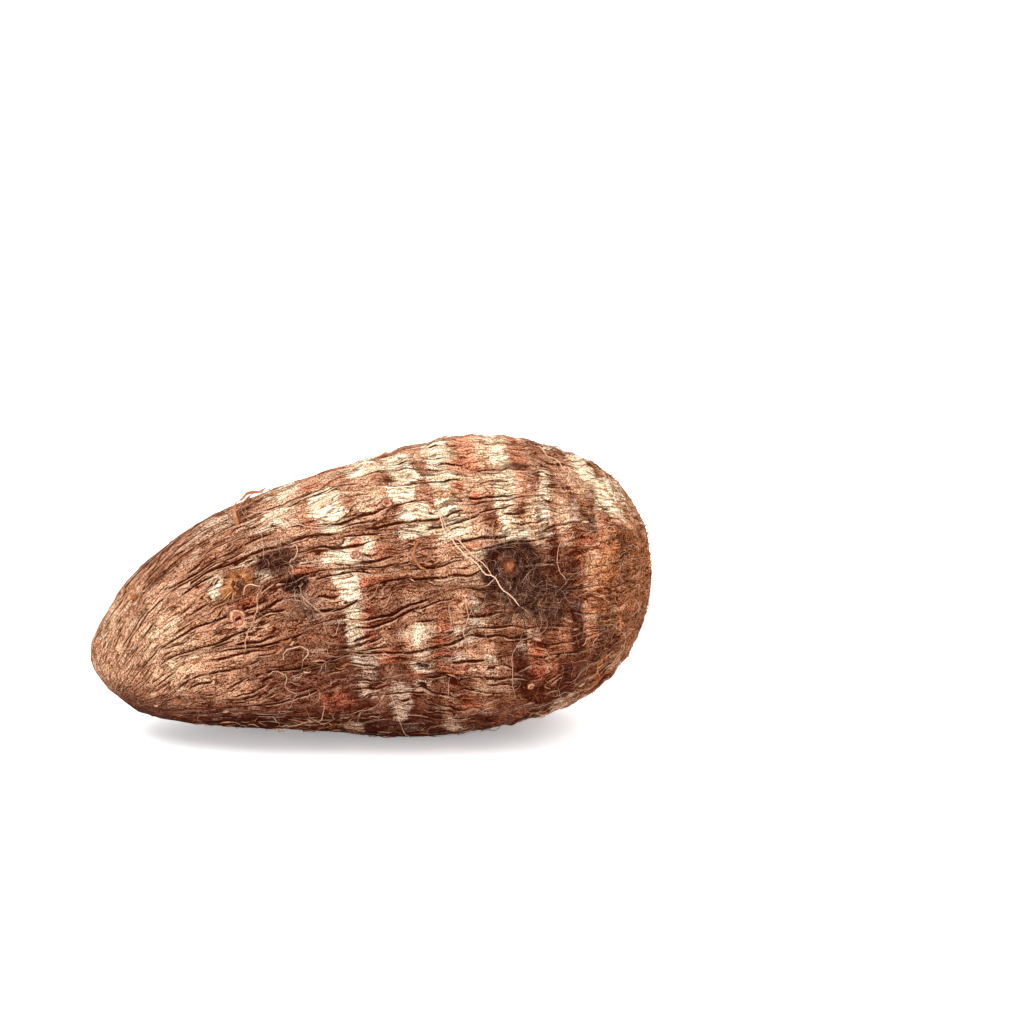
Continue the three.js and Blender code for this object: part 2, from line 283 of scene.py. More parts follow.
# Long loose fibres: radius, tone from dark to pale, then the places along, around and above the bark.
LOOSE_FIBRES = (
    (0.21, 1.0, (
        (102.6, 129, 0.3), (103.9, 136, 1.1), (107.0, 148.5, 1.4), (110.4, 157, 1.6), (115.6, 169, 1.8),
        (122.5, 182, 0.1),
    )),
    (0.17, 0.95, (
        (103.0, 130, 0.2), (105.1, 138.4, 1.2), (108.1, 148.1, 1.0), (111.2, 156.4, 1.3),
        (113.8, 163, 0.8),
    )),
    (0.13, 0.9, (
        (114.9, 161.0, 0.8), (113.6, 165, 0.6), (112.3, 168, 0.1),
    )),
    (0.1, 0.7, (
        (126.6, 186, 0.1), (123.4, 189.3, 1.0), (120.0, 191, 0.9), (118.3, 197.5, 0.5), (118.0, 205, 0.8),
        (118.5, 212.5, 0.1),
    )),
    (0.16, 0.8, (
        (74.6, 133.5, 0.1), (76.6, 135.2, 1.4), (77.0, 138.6, 0.7), (75.6, 142.6, 1.6),
        (76.0, 146.5, 0.1),
    )),
    (0.2, 0.7, (
        (69.0, 149.5, 0.1), (67.6, 151.3, 0.9), (66.9, 154.5, 0.6), (64.5, 160.0, 0.5),
        (61.6, 165.0, 0.7), (59.1, 173.5, 0.1),
    )),
    (0.14, 0.6, (
        (66.6, 155.0, 0.3), (67.6, 160.4, 0.4), (70.2, 161.4, 0.3), (74.8, 158.6, 0.1),
    )),
    (0.2, 0.9, (
        (65.2, 147.2, 0.1), (66.2, 145.4, 0.9), (67.6, 145.8, 1.0), (69.0, 148.0, 0.2),
    )),
    (0.16, 0.85, (
        (75.9, 155.4, 0.1), (76.9, 159.0, 0.8), (78.4, 162.4, 0.1),
    )),
    (0.15, 0.9, (
        (67.2, 183.0, 0.1), (68.0, 178.6, 0.8), (70.2, 176.6, 0.9), (72.6, 178.4, 0.7),
        (73.4, 182.6, 0.5), (71.6, 186.6, 0.1),
    )),
    (0.14, 0.8, (
        (62.0, 190.6, 0.1), (64.6, 189.2, 0.7), (66.6, 193.6, 0.6), (65.0, 199.6, 0.5),
        (66.6, 205.0, 0.1),
    )),
    (0.15, 0.5, (
        (71.4, 112.0, 0.1), (73.0, 99.0, 2.6), (75.6, 96.0, 3.0), (77.6, 104.0, 0.2),
    )),
    (0.13, 0.8, (
        (108.0, 174.0, 0.1), (109.2, 179.5, 0.6), (108.3, 186.0, 0.7), (109.6, 192.0, 0.1),
    )),
    (0.13, 0.7, (
        (129.0, 150.0, 0.1), (127.0, 158.0, 0.8), (129.6, 166.0, 0.7), (127.6, 173.0, 0.1),
    )),
    (0.13, 0.65, (
        (118.0, 96.0, 0.1), (124.0, 104.0, 1.0), (129.0, 112.0, 0.9), (133.0, 116.0, 0.1),
    )),
    (0.13, 0.6, (
        (104.0, 84.0, 0.1), (110.0, 80.0, 1.1), (116.0, 86.0, 0.9), (119.0, 94.0, 0.1),
    )),
)
LOOSE_COUNT = 110

# Bark that has curled up: half width, tone, then the places along, around and above the bark.
CURLED_FLAKES = (
    (0.45, 0.5, (
        (99.4, 138.6, 0.0), (98.8, 141.5, 0.8), (98.2, 146.0, 1.0), (98.9, 151.0, 0.7),
        (100.6, 155.5, 0.1),
    )),
    (0.8, 0.55, (
        (69.6, 112.0, 0.0), (70.4, 104.0, 2.2), (72.0, 99.0, 4.4), (74.2, 97.5, 5.6), (76.6, 99.0, 4.6),
        (77.6, 103.0, 1.6),
    )),
    (0.6, 0.3, (
        (70.2, 108.0, 0.0), (71.2, 102.0, 1.2), (72.6, 98.0, 2.4), (74.0, 96.0, 2.8),
    )),
)
RAYS = 340
LITTLE_FLAKES = 520
LYING_FIBRES = 2400
FELT_FIBRES = 4200
SHEATH_STRIPS = 420

# Tangles of fine fibres: along, around, half length along, half width around, count, tone.
TANGLES = (
    (118.0, 163.0, 6.4, 12.5, 460, 0.34),
    (124.0, 176.0, 6.4, 10.0, 420, 0.42),
    (72.8, 139.6, 3.6, 4.8, 110, 0.4),
    (76.2, 159.4, 1.5, 2.4, 90, 0.75),
    (65.8, 146.0, 4.0, 4.0, 36, 0.5),
    (104.0, 32.0, 6.0, 9.0, 420, 0.4),
    (132.0, 310.0, 6.0, 8.0, 380, 0.4),
)

MM = 0.001
WHITE = (1.0, 1.0, 1.0)

# How deep mounds are set into the bark, and twice the radius of the bark's curve under them.
MOUND_ROOT = 2.5
TWICE_BARK_CURVE = 90.0

# The least height of a fibre above the ground, and the half step in radians that distances are taken over.
LOWEST_FIBRE = 0.08
SMALL_TURN = 0.02

# The tube that the bark's map is rolled up to, and how many cells of tone it has along its length.
TUBE_RADIUS = 46.0
TUBE_LENGTH = 250.0
CELLS_ALONG = 45.0

# The first seed of each group of random draws.
MOUND_SEED = 61
LINE_SEED = 71
FIBRE_SEED = 81
RAY_SEED = 91
LYING_SEED = 101
TANGLE_SEED = 111
FELT_SEED = 121
LOOSE_SEED = 131
FLAKE_SEED = 141
SHEATH_SEED = 151


# Plain number work on whole arrays

def smoothstep(x, low, high):
    """An S-shaped rise from 0 at low to 1 at high."""
    u = np.clip((x - low) / (high - low), 0.0, 1.0)
    return u * u * (3.0 - 2.0 * u)


def lerp(a, b, share):
    """The place that lies share of the way from a to b."""
    return a + (b - a) * share


def chance(k, n):
    """A steady number from 0 to 1 for each pair: the fraction of a large multiple of a sine."""
    s = np.sin(k * 12.9898 + n * 78.233) * 43758.5453
    return s - np.floor(s)


def draws(count, seed, how_many):
    """Random numbers from 0 to 1 for count things: how_many arrays, with seeds that count up from seed."""
    k = np.arange(count)
    return [chance(k, seed + i) for i in range(how_many)]


def swings(numbers, width):
    """Numbers from 0 to 1 as swings of the given width about 0."""
    return width * (numbers - 0.5)


def even_shares(steps):
    """Even shares from 0 to 1 along a line, as one row."""
    return np.linspace(0.0, 1.0, steps)[None, :]


def lattice_noise(points, cell, seed):
    """Random heights from -1 to 1 on a cubic lattice of the given cell, joined smoothly in between."""
    place = np.asarray(points) / cell + 1000.0
    base = np.floor(place).astype(np.int64)
    share = place - base
    share = share * share * (3.0 - 2.0 * share)
    total = np.zeros(place.shape[:-1])
    for corner in range(8):
        step = np.array([corner & 1, (corner >> 1) & 1, corner >> 2])
        node = base + step
        key = (node[..., 0] * 73856093) ^ (node[..., 1] * 19349663) ^ (node[..., 2] * 83492791)
        key = key ^ (seed * 2654435761)
        key = (key ^ (key >> 13)) * 1274126177 & 0xFFFFFFFF
        value = ((key ^ (key >> 16)) & 0xFFFF) / 32767.5 - 1.0
        weight = np.prod(np.where(step == 1, share, 1.0 - share), axis=-1)
        total += value * weight
    return total


def along_noise(k, place, cell, seed):
    """Random numbers from 0 to 1 along line k, one for each cell of length, joined smoothly in between."""
    q = place / cell
    base = np.floor(q)
    share = smoothstep(q - base, 0.0, 1.0)
    return lerp(chance(base + 31.0 * k, seed), chance(base + 1.0 + 31.0 * k, seed), share)


# The smooth corm

def along_body(share, key):
    """A smooth curve through the stations: a cubic between each two, with slopes from their neighbours."""
    xs = STATIONS[:, SHARE]
    ys = STATIONS[:, key]
    before = np.maximum(np.arange(len(xs)) - 1, 0)
    after = np.minimum(np.arange(len(xs)) + 1, len(xs) - 1)
    slopes = (ys[after] - ys[before]) / (xs[after] - xs[before])
    x = np.clip(share, -1.0, 1.0)
    i = np.clip(np.searchsorted(xs, x, side="right") - 1, 0, len(xs) - 2)
    gap = xs[i + 1] - xs[i]
    u = (x - xs[i]) / gap
    v = 1.0 - u
    start = ys[i] * (1.0 + 2.0 * u) * v * v + slopes[i] * gap * u * v * v
    return start + ys[i + 1] * (3.0 - 2.0 * u) * u * u - slopes[i + 1] * gap * u * u * v


def furrow_sway(k, along):
    """How far furrow k strays from its even place: a fixed part and a wave of its own."""
    pace = 9.0 + 5.0 * chance(k, 1)
    return (chance(k, 2) - 0.5) * 0.5 + 0.22 * np.sin(along * pace + chance(k, 3) * 2.0 * np.pi)


def wander(along, around):
    """Both angles after the furrows' own sway, a shared long wave and the rings' wave, less at the poles."""
    place = around * FURROWS / (2.0 * np.pi)
    k = np.floor(place + 1e-6)
    left = furrow_sway(np.mod(k, FURROWS), along)
    right = furrow_sway(np.mod(k + 1.0, FURROWS), along)
    own = lerp(left, right, smoothstep(place - k, 0.0, 1.0)) * 2.0 * np.pi / FURROWS
    shared = 0.05 * np.sin(3.0 * around + 4.0 * along) + 0.03 * np.sin(7.0 * around - 6.0 * along + 1.0)
    rings = 0.014 * np.sin(3.0 * around + 1.3) + 0.009 * np.sin(8.0 * around + 2.0 * along)
    fade = np.sqrt(np.clip(np.sin(along), 0.0, 1.0))
    return along + fade * rings, around + fade * (SWAY_KEPT * own + shared)


def direction(along, around):
    """The direction of a place on a ball, with the tail's pole turned down and near, the crown's away."""
    x = -np.cos(along)
    y = np.sin(along) * np.cos(around)
    z = np.sin(along) * np.sin(around)
    tail = 1.0 - smoothstep(along, 0.0, np.radians(TAIL_TURN_ENDS))
    crown = smoothstep(along, np.radians(CROWN_TURN_STARTS), np.pi)
    down = np.radians(TAIL_DOWN) * tail
    x, z = x * np.cos(down) - z * np.sin(down), x * np.sin(down) + z * np.cos(down)
    turn = np.radians(TAIL_NEAR) * tail + np.radians(CROWN_AWAY) * crown
    return x * np.cos(turn) - y * np.sin(turn), x * np.sin(turn) + y * np.cos(turn), z


def smooth_corm(along, around):
    """The ball stretched to the half length, its girth and height from the stations, with broad lumps."""
    dx, dy, dz = direction(*wander(along, around))
    lumps = (
        0.7 * np.sin(2.0 * around + 3.0 * along)
        + 0.6 * np.sin(3.0 * around - 5.0 * along + 2.0)
        + 0.4 * np.sin(5.0 * around + 8.0 * along + 4.0)
    )
    girth = along_body(dx, GIRTH) + lumps * np.sin(along)
    return np.stack([HALF_LENGTH * dx, girth * dy, along_body(dx, HEIGHT) + girth * dz], axis=-1)


# The bark's relief on a grid of rows from tail to crown and columns along the cracks

def row_places():
    """Rows closer together towards the rings, in step with each ring, and at each height of the end scars."""
    scar = np.array([0.0, 2.0, 4.0, 5.2, 6.5, 8.0])
    tail = np.linspace(9.5, 58.0, 27)
    waist = np.linspace(58.0, RING_FIRST, 19)[1:-1]
    rings = RING_FIRST + RING_GAP * np.add.outer(np.arange(RING_COUNT - 1), RING_ROWS).ravel()
    last = RING_FIRST + RING_GAP * (RING_COUNT - 1)
    crown = np.array([place for place, _ in CROWN[1:]])
    between = np.array([158.2, 162.0, 165.7, 169.5, 173.2, 178.0])
    return np.sort(np.concatenate([scar, tail, waist, rings, [last], crown, between]))


def crack_stray(k, along):
    """How far crack k strays, as a share of a strip: two waves of its own, gentler on the furrows."""
    own = 0.16 * np.sin(along * (28.0 + 14.0 * chance(k, 11)) + 6.28 * chance(k, 12))
    quick = 0.09 * np.sin(along * (52.0 + 24.0 * chance(k, 13)) + 6.28 * chance(k, 14))
    fixed = 0.3 * (chance(k, 15) - 0.5)
    calm = np.where(np.mod(k, STRIPS_PER_FURROW) == 0, 0.5, 1.0)
    return calm * (own + quick + fixed)


def furrow_open(k, along):
    """How far furrow k is open: it closes up here and there along the corm, and towards both ends."""
    pace = 13.0 + 8.0 * chance(k, 4)
    wave = 0.5 + 0.5 * np.sin(along * pace + 2.0 * np.pi * chance(k, 5))
    ends = smoothstep(along, 0.15, 0.6) * (1.0 - smoothstep(along, 2.45, 2.8))
    return lerp(0.35, 1.0, smoothstep(wave, 0.1, 0.6)) * ends


def patches(along, around, spots, power=3.0):
    """The strongest of several soft spots on the bark's map: ovals at power 2, squarer above it."""
    mask = np.zeros(np.broadcast(along, around).shape)
    for spot_along, spot_around, half_along, half_around, strength in spots:
        off = np.mod(around - spot_around + 180.0, 360.0) - 180.0
        lengthwise = np.abs((along - spot_along) / half_along) ** power
        distance = (lengthwise + np.abs(off / half_around) ** power) ** (1.0 / power)
        mask = np.maximum(mask, strength * (1.0 - smoothstep(distance, 0.6, 1.4)))
    return mask


def hidden_spots(count, seed, half_along, half_around, on_rings):
    """Seeded spots for the far side and the underside, on the rings or between them."""
    k = np.arange(count)
    ring = np.floor(chance(k, seed) * (RING_COUNT - 1))
    along = RING_FIRST + RING_GAP * (ring + np.where(on_rings, 0.15, 0.75))
    around = np.mod(216.0 + 248.0 * (k + 0.8 * chance(k, seed + 1)) / count, 360.0)
    size = 0.6 + 0.8 * chance(k, seed + 2)
    strength = 0.5 + 0.5 * chance(k, seed + 3)
    return tuple(zip(along, around, half_along * size, half_around * size, strength))


class Bark:
    """The bark's grid of points with outward normals and its fields of colour, made once and then sampled."""

    def __init__(self):
        self.rows = row_places()
        strips = np.arange(STRIPS)
        self.place = np.add.outer(strips, STRIP_COLUMNS).ravel()
        along = np.radians(self.rows)[:, None]
        around = (2.0 * np.pi * self.place / STRIPS)[None, :]
        self.smooth, self.shifted = self.base_points(along, around)
        self.normals = self.grid_normals(self.smooth)
        self.crack = self.crack_strength(along)
        relief = self.relief(along)
        rest = smoothstep(self.smooth[..., 2], REST_FADE_STARTS, REST_FADE_ENDS)
        points = self.smooth + self.normals * (relief * rest)[..., None]
        points[..., 2] = np.maximum(points[..., 2], 0.0)
        low, high = points.min((0, 1)), points.max((0, 1))
        cad_low, cad_high = (np.array(corner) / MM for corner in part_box("corm"))
        self.shift = (cad_low + cad_high - low - high) / 2.0
        self.shift[2] = 0.0
        self.points = points + self.shift
        self.normals = self.grid_normals(self.points)

    def base_points(self, along, around):
        """The smooth corm with each crack's own stray and small waves that neighbours share."""
        k = np.floor(self.place)[None, :]
        share = smoothstep(self.place[None, :] - k, 0.0, 1.0)
        stray = lerp(crack_stray(k, along), crack_stray(np.mod(k + 1.0, STRIPS), along), share)
        fade = np.sqrt(np.clip(np.sin(along), 0.0, 1.0))
        shifted = around + fade * stray * 2.0 * np.pi / STRIPS
        rough = smooth_corm(along, shifted)
        waves = 0.7 * lattice_noise(rough, 10.0, 1) + 0.35 * lattice_noise(rough, 5.0, 2)
        shifted = shifted + fade * waves / 45.0
        return smooth_corm(along, shifted), shifted

    @staticmethod
    def grid_normals(points):
        """Outward normals: the cross product of the steps to the neighbours across and along the grid."""
        across = np.roll(points, -1, axis=1) - np.roll(points, 1, axis=1)
        lengthwise = np.gradient(points, axis=0)
        normals = np.cross(across, lengthwise)
        normals[0] = normals[1].mean(axis=0)
        normals[-1] = normals[-2].mean(axis=0)
        return normals / np.maximum(np.linalg.norm(normals, axis=-1, keepdims=True), 1e-12)

    def crack_strength(self, along):
        """How open the nearest crack is: each one opens and closes at random along its length."""
        k = np.mod(np.round(self.place), STRIPS)[None, :]
        cell = (0.09 + 0.07 * chance(k, 21)) * lerp(0.55, 1.0, smoothstep(along, 0.8, 1.4))
        place = np.cumsum(np.gradient(along, axis=0) / cell, axis=0)
        wave = 0.8 * along_noise(k, place, 1.0, 22) + 0.2 * along_noise(k, along, 0.5, 23)
        major = np.mod(k, STRIPS_PER_FURROW) == 0
        strength = smoothstep(wave, np.where(major, 0.42, 0.6), np.where(major, 0.56, 0.74))
        felt = 1.0 - 0.75 * smoothstep(np.degrees(along), 112.0, 140.0)
        ends = smoothstep(along, 0.3, 1.0) * (1.0 - smoothstep(along, 2.6, 2.8))
        return strength * felt * lerp(0.35, 1.0, ends) * smoothstep(along, 0.08, 0.25)

    def ring_height(self, along):
        """A saw: the bark sinks at each leaf scar, stands proud just past it and slopes to the next one."""
        strip = np.floor(self.place)[None, :]
        degrees = np.degrees(along)
        ring = np.round((degrees - RING_FIRST) / RING_GAP)
        left = RING_RAGGED * (chance(strip + 7.0 * ring, 31) - 0.5)
        right = RING_RAGGED * (chance(np.mod(strip - 1.0, STRIPS) + 7.0 * ring, 31) - 0.5)
        on_crack = (self.place == strip[0])[None, :]
        x = (degrees + np.where(on_crack, 0.5 * (left + right), left) - RING_FIRST) / RING_GAP
        share = x - np.floor(x)
        saw = np.interp(share, (0.0, 0.05, 0.22, 1.0), (-0.34, -0.28, 0.4, -0.34))
        grown = lerp(0.5, 1.0, np.clip(x / 3.0, 0.0, 1.0))
        return saw * grown * ((x >= 0.0) & (x < RING_COUNT - 1))

    def relief(self, along):
        """Heights above the smooth corm: end scars, rings, furrows, cracks, strips, dents and grain."""
        degrees = np.degrees(along)
        ends = np.interp(degrees, *zip(*TAIL_SCAR, *CROWN))
        furrow = np.round(self.place / STRIPS_PER_FURROW)
        off = np.abs(self.place - STRIPS_PER_FURROW * furrow)[None, :]
        opened = furrow_open(np.mod(furrow, FURROWS)[None, :], along)
        furrows = opened * (0.3 * smoothstep(off, 0.4, 1.3) - 0.6 * (1.0 - smoothstep(off, 0.0, 1.0)))
        q = self.place - np.floor(self.place)
        from_crack = np.minimum(q, 1.0 - q)[None, :]
        cracks = self.crack * np.interp(from_crack, (0.0, 0.12, 0.36), (-0.4, 0.12, 0.0))
        swollen = 0.22 * np.sin(np.pi * q)[None, :] * np.sin(along)
        total = ends + self.ring_height(along) + furrows + cracks + swollen
        total = total + self.sunk_places()
        grain = 0.28 * lattice_noise(self.smooth, 6.5, 3) + 0.13 * lattice_noise(self.smooth, 2.6, 4)
        felt = smoothstep(degrees, 128.0, 146.0) * (1.0 - smoothstep(degrees, 156.0, 166.0))
        fine = (0.08 + 0.12 * felt) * lattice_noise(self.smooth, 1.3, 5)
        return total + (grain + fine) * smoothstep(along, 0.05, 0.3)

    def sunk_places(self):
        """A shallow dish for each bud and a deep round dent for each root hole, by distance."""
        total = 0.0
        for along, around, _, _ in BUDS:
            centre = smooth_corm(np.radians(along), np.radians(around))
            distance = np.linalg.norm(self.smooth - centre, axis=-1)
            total = total - (1.0 - smoothstep(distance, 0.4 * BUD_DISH_RADIUS, BUD_DISH_RADIUS))
        for along, around, radius, depth in ROOT_HOLES:
            centre = smooth_corm(np.radians(along), np.radians(around))
            distance = np.linalg.norm(self.smooth - centre, axis=-1)
            total = total - depth * (1.0 - smoothstep(distance, 0.3 * radius, 1.25 * radius))
        return total

    def at(self, along, around):
        """Points and normals at any places, in degrees, read between the four nearest grid points."""
        row = np.interp(along, self.rows, np.arange(len(self.rows)))
        place = np.mod(np.asarray(around, float) / 360.0, 1.0) * STRIPS
        column = np.interp(place, np.append(self.place, STRIPS), np.arange(COLUMNS + 1))
        i = np.clip(np.floor(row).astype(int), 0, len(self.rows) - 2)
        j = np.floor(column).astype(int)
        u = (row - i)[..., None]
        v = (column - j)[..., None]
        found = []
        for grid in (self.points, self.normals):
            low = lerp(grid[i, j % COLUMNS], grid[i, (j + 1) % COLUMNS], v)
            high = lerp(grid[i + 1, j % COLUMNS], grid[i + 1, (j + 1) % COLUMNS], v)
            found.append(lerp(low, high, u))
        points, normals = found
        return points, normals / np.linalg.norm(normals, axis=-1, keepdims=True)

    def frame_at(self, along, around, lean=0.0):
        """A place's point with three axes: towards the crown, outward and across, leaning by lean."""
        point, _ = self.at(along, around)
        a, t = np.radians(along), np.radians(around)
        ahead = smooth_corm(a + 0.05, t) - smooth_corm(a - 0.05, t)
        across = smooth_corm(a, t + 0.05) - smooth_corm(a, t - 0.05)
        up = np.cross(across, ahead)
        up /= np.linalg.norm(up)
        ahead /= np.linalg.norm(ahead)
        side = np.cross(ahead, up)
        tilt = np.radians(lean)
        ahead, up = ahead * np.cos(tilt) - up * np.sin(tilt), up * np.cos(tilt) + ahead * np.sin(tilt)
        return point, np.stack([ahead, up, side])


BARK = Bark()


# Meshes from arrays

def new_object(name, points, faces, material, smooth=True):
    """One mesh object at the origin from points in millimetres and a list of face arrays."""
    mesh = bpy.data.meshes.new(name)
    counts = np.concatenate([np.full(len(f), f.shape[1]) for f in faces])
    corners = np.concatenate([f.ravel() for f in faces])
    mesh.vertices.add(len(points))
    points = np.maximum(points, (-np.inf, -np.inf, 0.0))
    mesh.vertices.foreach_set("co", (points * MM).ravel().astype(np.float32))
    mesh.loops.add(len(corners))
    mesh.loops.foreach_set("vertex_index", corners.astype(np.int32))
    mesh.polygons.add(len(counts))
    starts = np.concatenate([[0], np.cumsum(counts)[:-1]])
    mesh.polygons.foreach_set("loop_start", starts.astype(np.int32))
    mesh.polygons.foreach_set("use_smooth", np.full(len(counts), smooth))
    mesh.update(calc_edges=True)
    mesh.validate()
    mesh.materials.append(material)
    made = bpy.data.objects.new(name, mesh)
    bpy.context.scene.collection.objects.link(made)
    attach(made, "root")
    return made


def point_colour(made, name, channels):
    """A four-channel attribute on the points from up to four arrays."""
    values = np.ones((len(made.data.vertices), 4), np.float32)
    for channel, array in enumerate(channels):
        values[:, channel] = array
    made.data.attributes.new(name, "FLOAT_COLOR", "POINT").data.foreach_set("color", values.ravel())


def corner_map(made, name, u, v):
    """A UV map from one pair of values for each face corner."""
    layer = made.data.uv_layers.new(name=name)
    layer.data.foreach_set("uv", np.stack([u, v], axis=-1).ravel().astype(np.float32))


def tubes(paths, radii, sides, outward=None, flat=1.0):
    """Closed tubes: a ring of sides about each path point, and a point at both ends.

    paths is lines x steps x 3 and radii is lines x steps. Each ring is an oval square to the path: one axis
    is the cross product of the path's direction and outward, the other is square to both, flat times as long.
    """
    ahead = np.gradient(paths, axis=1)
    ahead /= np.linalg.norm(ahead, axis=-1, keepdims=True)
    if outward is None:
        outward = np.where(np.abs(ahead[:, :1, 2:]) < 0.8, [[[0.0, 0.0, 1.0]]], [[[1.0, 0.0, 0.0]]])
    side = np.cross(ahead, np.broadcast_to(outward, ahead.shape))
    side /= np.maximum(np.linalg.norm(side, axis=-1, keepdims=True), 1e-9)
    other = np.cross(ahead, side) * flat
    angle = 2.0 * np.pi * np.arange(sides) / sides
    ring = side[:, :, None] * np.cos(angle)[:, None] + other[:, :, None] * np.sin(angle)[:, None]
    body = paths[:, :, None] + ring * radii[:, :, None, None]
    lines, steps = paths.shape[:2]
    first_end = paths[:, 0] - ahead[:, 0] * radii[:, :1]
    tips = np.stack([first_end, paths[:, -1] + ahead[:, -1] * radii[:, -1:]], axis=1)
    points = np.concatenate([body.reshape(lines, -1, 3), tips], axis=1)
    start = np.arange(lines)[:, None, None] * (steps * sides + 2)
    here = np.arange(steps - 1)[None, :, None] * sides
    turn = np.arange(sides)[None, None, :]
    after = (turn + 1) % sides
    corners = [here + turn, here + after, here + sides + after, here + sides + turn]
    quads = np.stack(corners, axis=-1) + start[..., None]
    turn, after = turn[0], after[0]
    end = (steps - 1) * sides
    first_tip = np.full((1, sides), steps * sides)
    first = np.stack([after, turn, first_tip], axis=-1) + start
    last = np.stack([end + turn, end + after, first_tip + 1], axis=-1) + start
    return points.reshape(-1, 3), [quads.reshape(-1, 4), first.reshape(-1, 3), last.reshape(-1, 3)]


def tube_object(name, paths, radii, sides, material, tone, dice, outward=None, flat=1.0):
    """One object of closed tubes, where each tube has a tone and a random number of its own."""
    made = new_object(name, *tubes(paths, radii, sides, outward, flat), material)
    points_each = paths.shape[1] * sides + 2
    fields = [np.repeat(np.broadcast_to(field, len(paths)), points_each) for field in (tone, dice)]
    point_colour(made, "Tone", fields)


def mounds(name, spots, profile, sides, ragged, material):
    """Closed round mounds set in the bark; Mark holds each point's share of the outermost radius.

    A spot is along, around, radius and height. The profile goes outwards from the middle as shares of both;
    its rings waver by the ragged share with two waves, and follow the bark's curve as a parabola.
    """
    shares, heights = np.array(profile).T
    rings = len(shares) - 1
    t = 2.0 * np.pi * np.arange(sides) / sides
    all_points, all_faces, all_shares = [], [], []
    turn = np.arange(sides)
    after = (turn + 1) % sides
    for k, (along, around, radius, height) in enumerate(spots):
        centre, (ahead, up, side) = BARK.frame_at(along, around)
        phase = 6.28 * chance(k, MOUND_SEED) + 0.7 * np.arange(rings)[:, None]
        waver = 1.0 + ragged * (0.6 * np.sin(2.0 * t + phase) + 0.4 * np.sin(5.0 * t + 2.0 * phase))
        r = radius * shares[1:, None] * waver
        ripple = 0.12 * height * ragged * np.sin(7.0 * t + phase)
        lift = height * heights[1:, None] + ripple - r * r / TWICE_BARK_CURVE
        ring = r[..., None] * (np.cos(t)[:, None] * ahead + np.sin(t)[:, None] * side) + lift[..., None] * up
        top = height * heights[0] * up
        bottom = -MOUND_ROOT * up
        start = sum(len(points) for points in all_points)
        all_points.append(np.concatenate([[top], ring.reshape(-1, 3), [bottom]]) + centre)
        rows = start + 1 + np.arange(rings - 1)[:, None] * sides
        quads = np.stack([rows + turn, rows + after, rows + sides + after, rows + sides + turn], axis=-1)
        end = start + 1 + (rings - 1) * sides
        top_fan = np.stack([np.full(sides, start), start + 1 + after, start + 1 + turn], axis=-1)
        bottom_fan = np.stack([np.full(sides, end + sides), end + turn, end + after], axis=-1)
        all_faces += [quads.reshape(-1, 4), top_fan, bottom_fan]
        all_shares.append(np.concatenate([[0.0], np.repeat(shares[1:], sides), [1.0]]))
    made = new_object(name, np.concatenate(all_points), all_faces, material)
    point_colour(made, "Mark", [np.concatenate(all_shares) / shares[-1]])


def step_per_degree(a, t, along_step, around_step):
    """The distance over the smooth corm that one degree makes, measured across a small step both ways."""
    ahead = smooth_corm(a + along_step, t + around_step)
    behind = smooth_corm(a - along_step, t - around_step)
    return np.linalg.norm(ahead - behind, axis=-1) / math.degrees(2.0 * SMALL_TURN)


def bark_lines(along, around, heading, length, steps, curl):
    """Places of lines that run over the bark: each turns evenly by curl, with a wave, as it goes ahead."""
    k = np.arange(len(along))
    a, t = np.radians(along), np.radians(around)
    per_degree_along = step_per_degree(a, t, SMALL_TURN, 0.0)
    per_degree_around = step_per_degree(a, t, 0.0, SMALL_TURN)
    share = even_shares(steps)
    wave = 0.5 * np.sin(5.0 * share + 6.28 * chance(k, LINE_SEED)[:, None])
    way = heading[:, None] + curl[:, None] * share + wave
    step = (length / (steps - 1))[:, None]
    forward = np.cumsum(np.cos(way) * step, axis=1) / per_degree_along[:, None]
    sideways = np.cumsum(np.sin(way) * step, axis=1) / np.maximum(per_degree_around, 0.05)[:, None]
    return np.clip(along[:, None] + forward, 2.0, 178.0), around[:, None] + sideways


def lifted(along, around, lift):
    """Points above the bark at the given places, with the bark's normals, and never under the ground."""
    points, normals = BARK.at(along, around)
    points = points + normals * lift[..., None]
    points[..., 2] = np.maximum(points[..., 2], LOWEST_FIBRE)
    return points, normals


def fibres(name, along, around, heading, length, curl, lift, radius, tone, material):
    """Thin three-sided tubes over the bark, thinner towards both ends, each with a tone of its own."""
    steps = lift.shape[1]
    points, _ = lifted(*bark_lines(along, around, heading, length, steps, curl), lift)
    radii = radius[:, None] * (0.45 + 0.55 * np.sin(np.pi * even_shares(steps)))
    tube_object(name, points, radii, 3, material, tone, chance(np.arange(len(tone)), FIBRE_SEED))


def through_points(spots, steps):
    """A smooth line through a few given points, by cubic pieces with slopes from the neighbours."""
    spots = np.asarray(spots, float)
    before = np.vstack([2 * spots[0] - spots[1], spots[:-1]])
    after = np.vstack([spots[1:], 2 * spots[-1] - spots[-2]])
    slopes = (after - before) / 2.0
    place = np.linspace(0.0, len(spots) - 1.0, steps)
    i = np.minimum(place.astype(int), len(spots) - 2)
    u = (place - i)[:, None]
    v = 1.0 - u
    start = spots[i] * (1.0 + 2.0 * u) * v * v + slopes[i] * u * v * v
    return start + spots[i + 1] * (3.0 - 2.0 * u) * u * u - slopes[i + 1] * u * u * v


def placed_lines(rows, steps):
    """The widths, the tones and the smooth lines of listed rows: width, tone, then its spots."""
    widths, tones, spots = zip(*rows)
    return np.array(widths), np.array(tones), np.array([through_points(line, steps) for line in spots])


# Materials

def paint(red, green, blue):
    """A screen colour, 0 to 255, as the linear colour that a shader takes."""
    c = np.array([red, green, blue]) / 255.0
    linear = np.where(c <= 0.04045, c / 12.92, ((c + 0.055) / 1.055) ** 2.4)
    return tuple(linear.tolist())


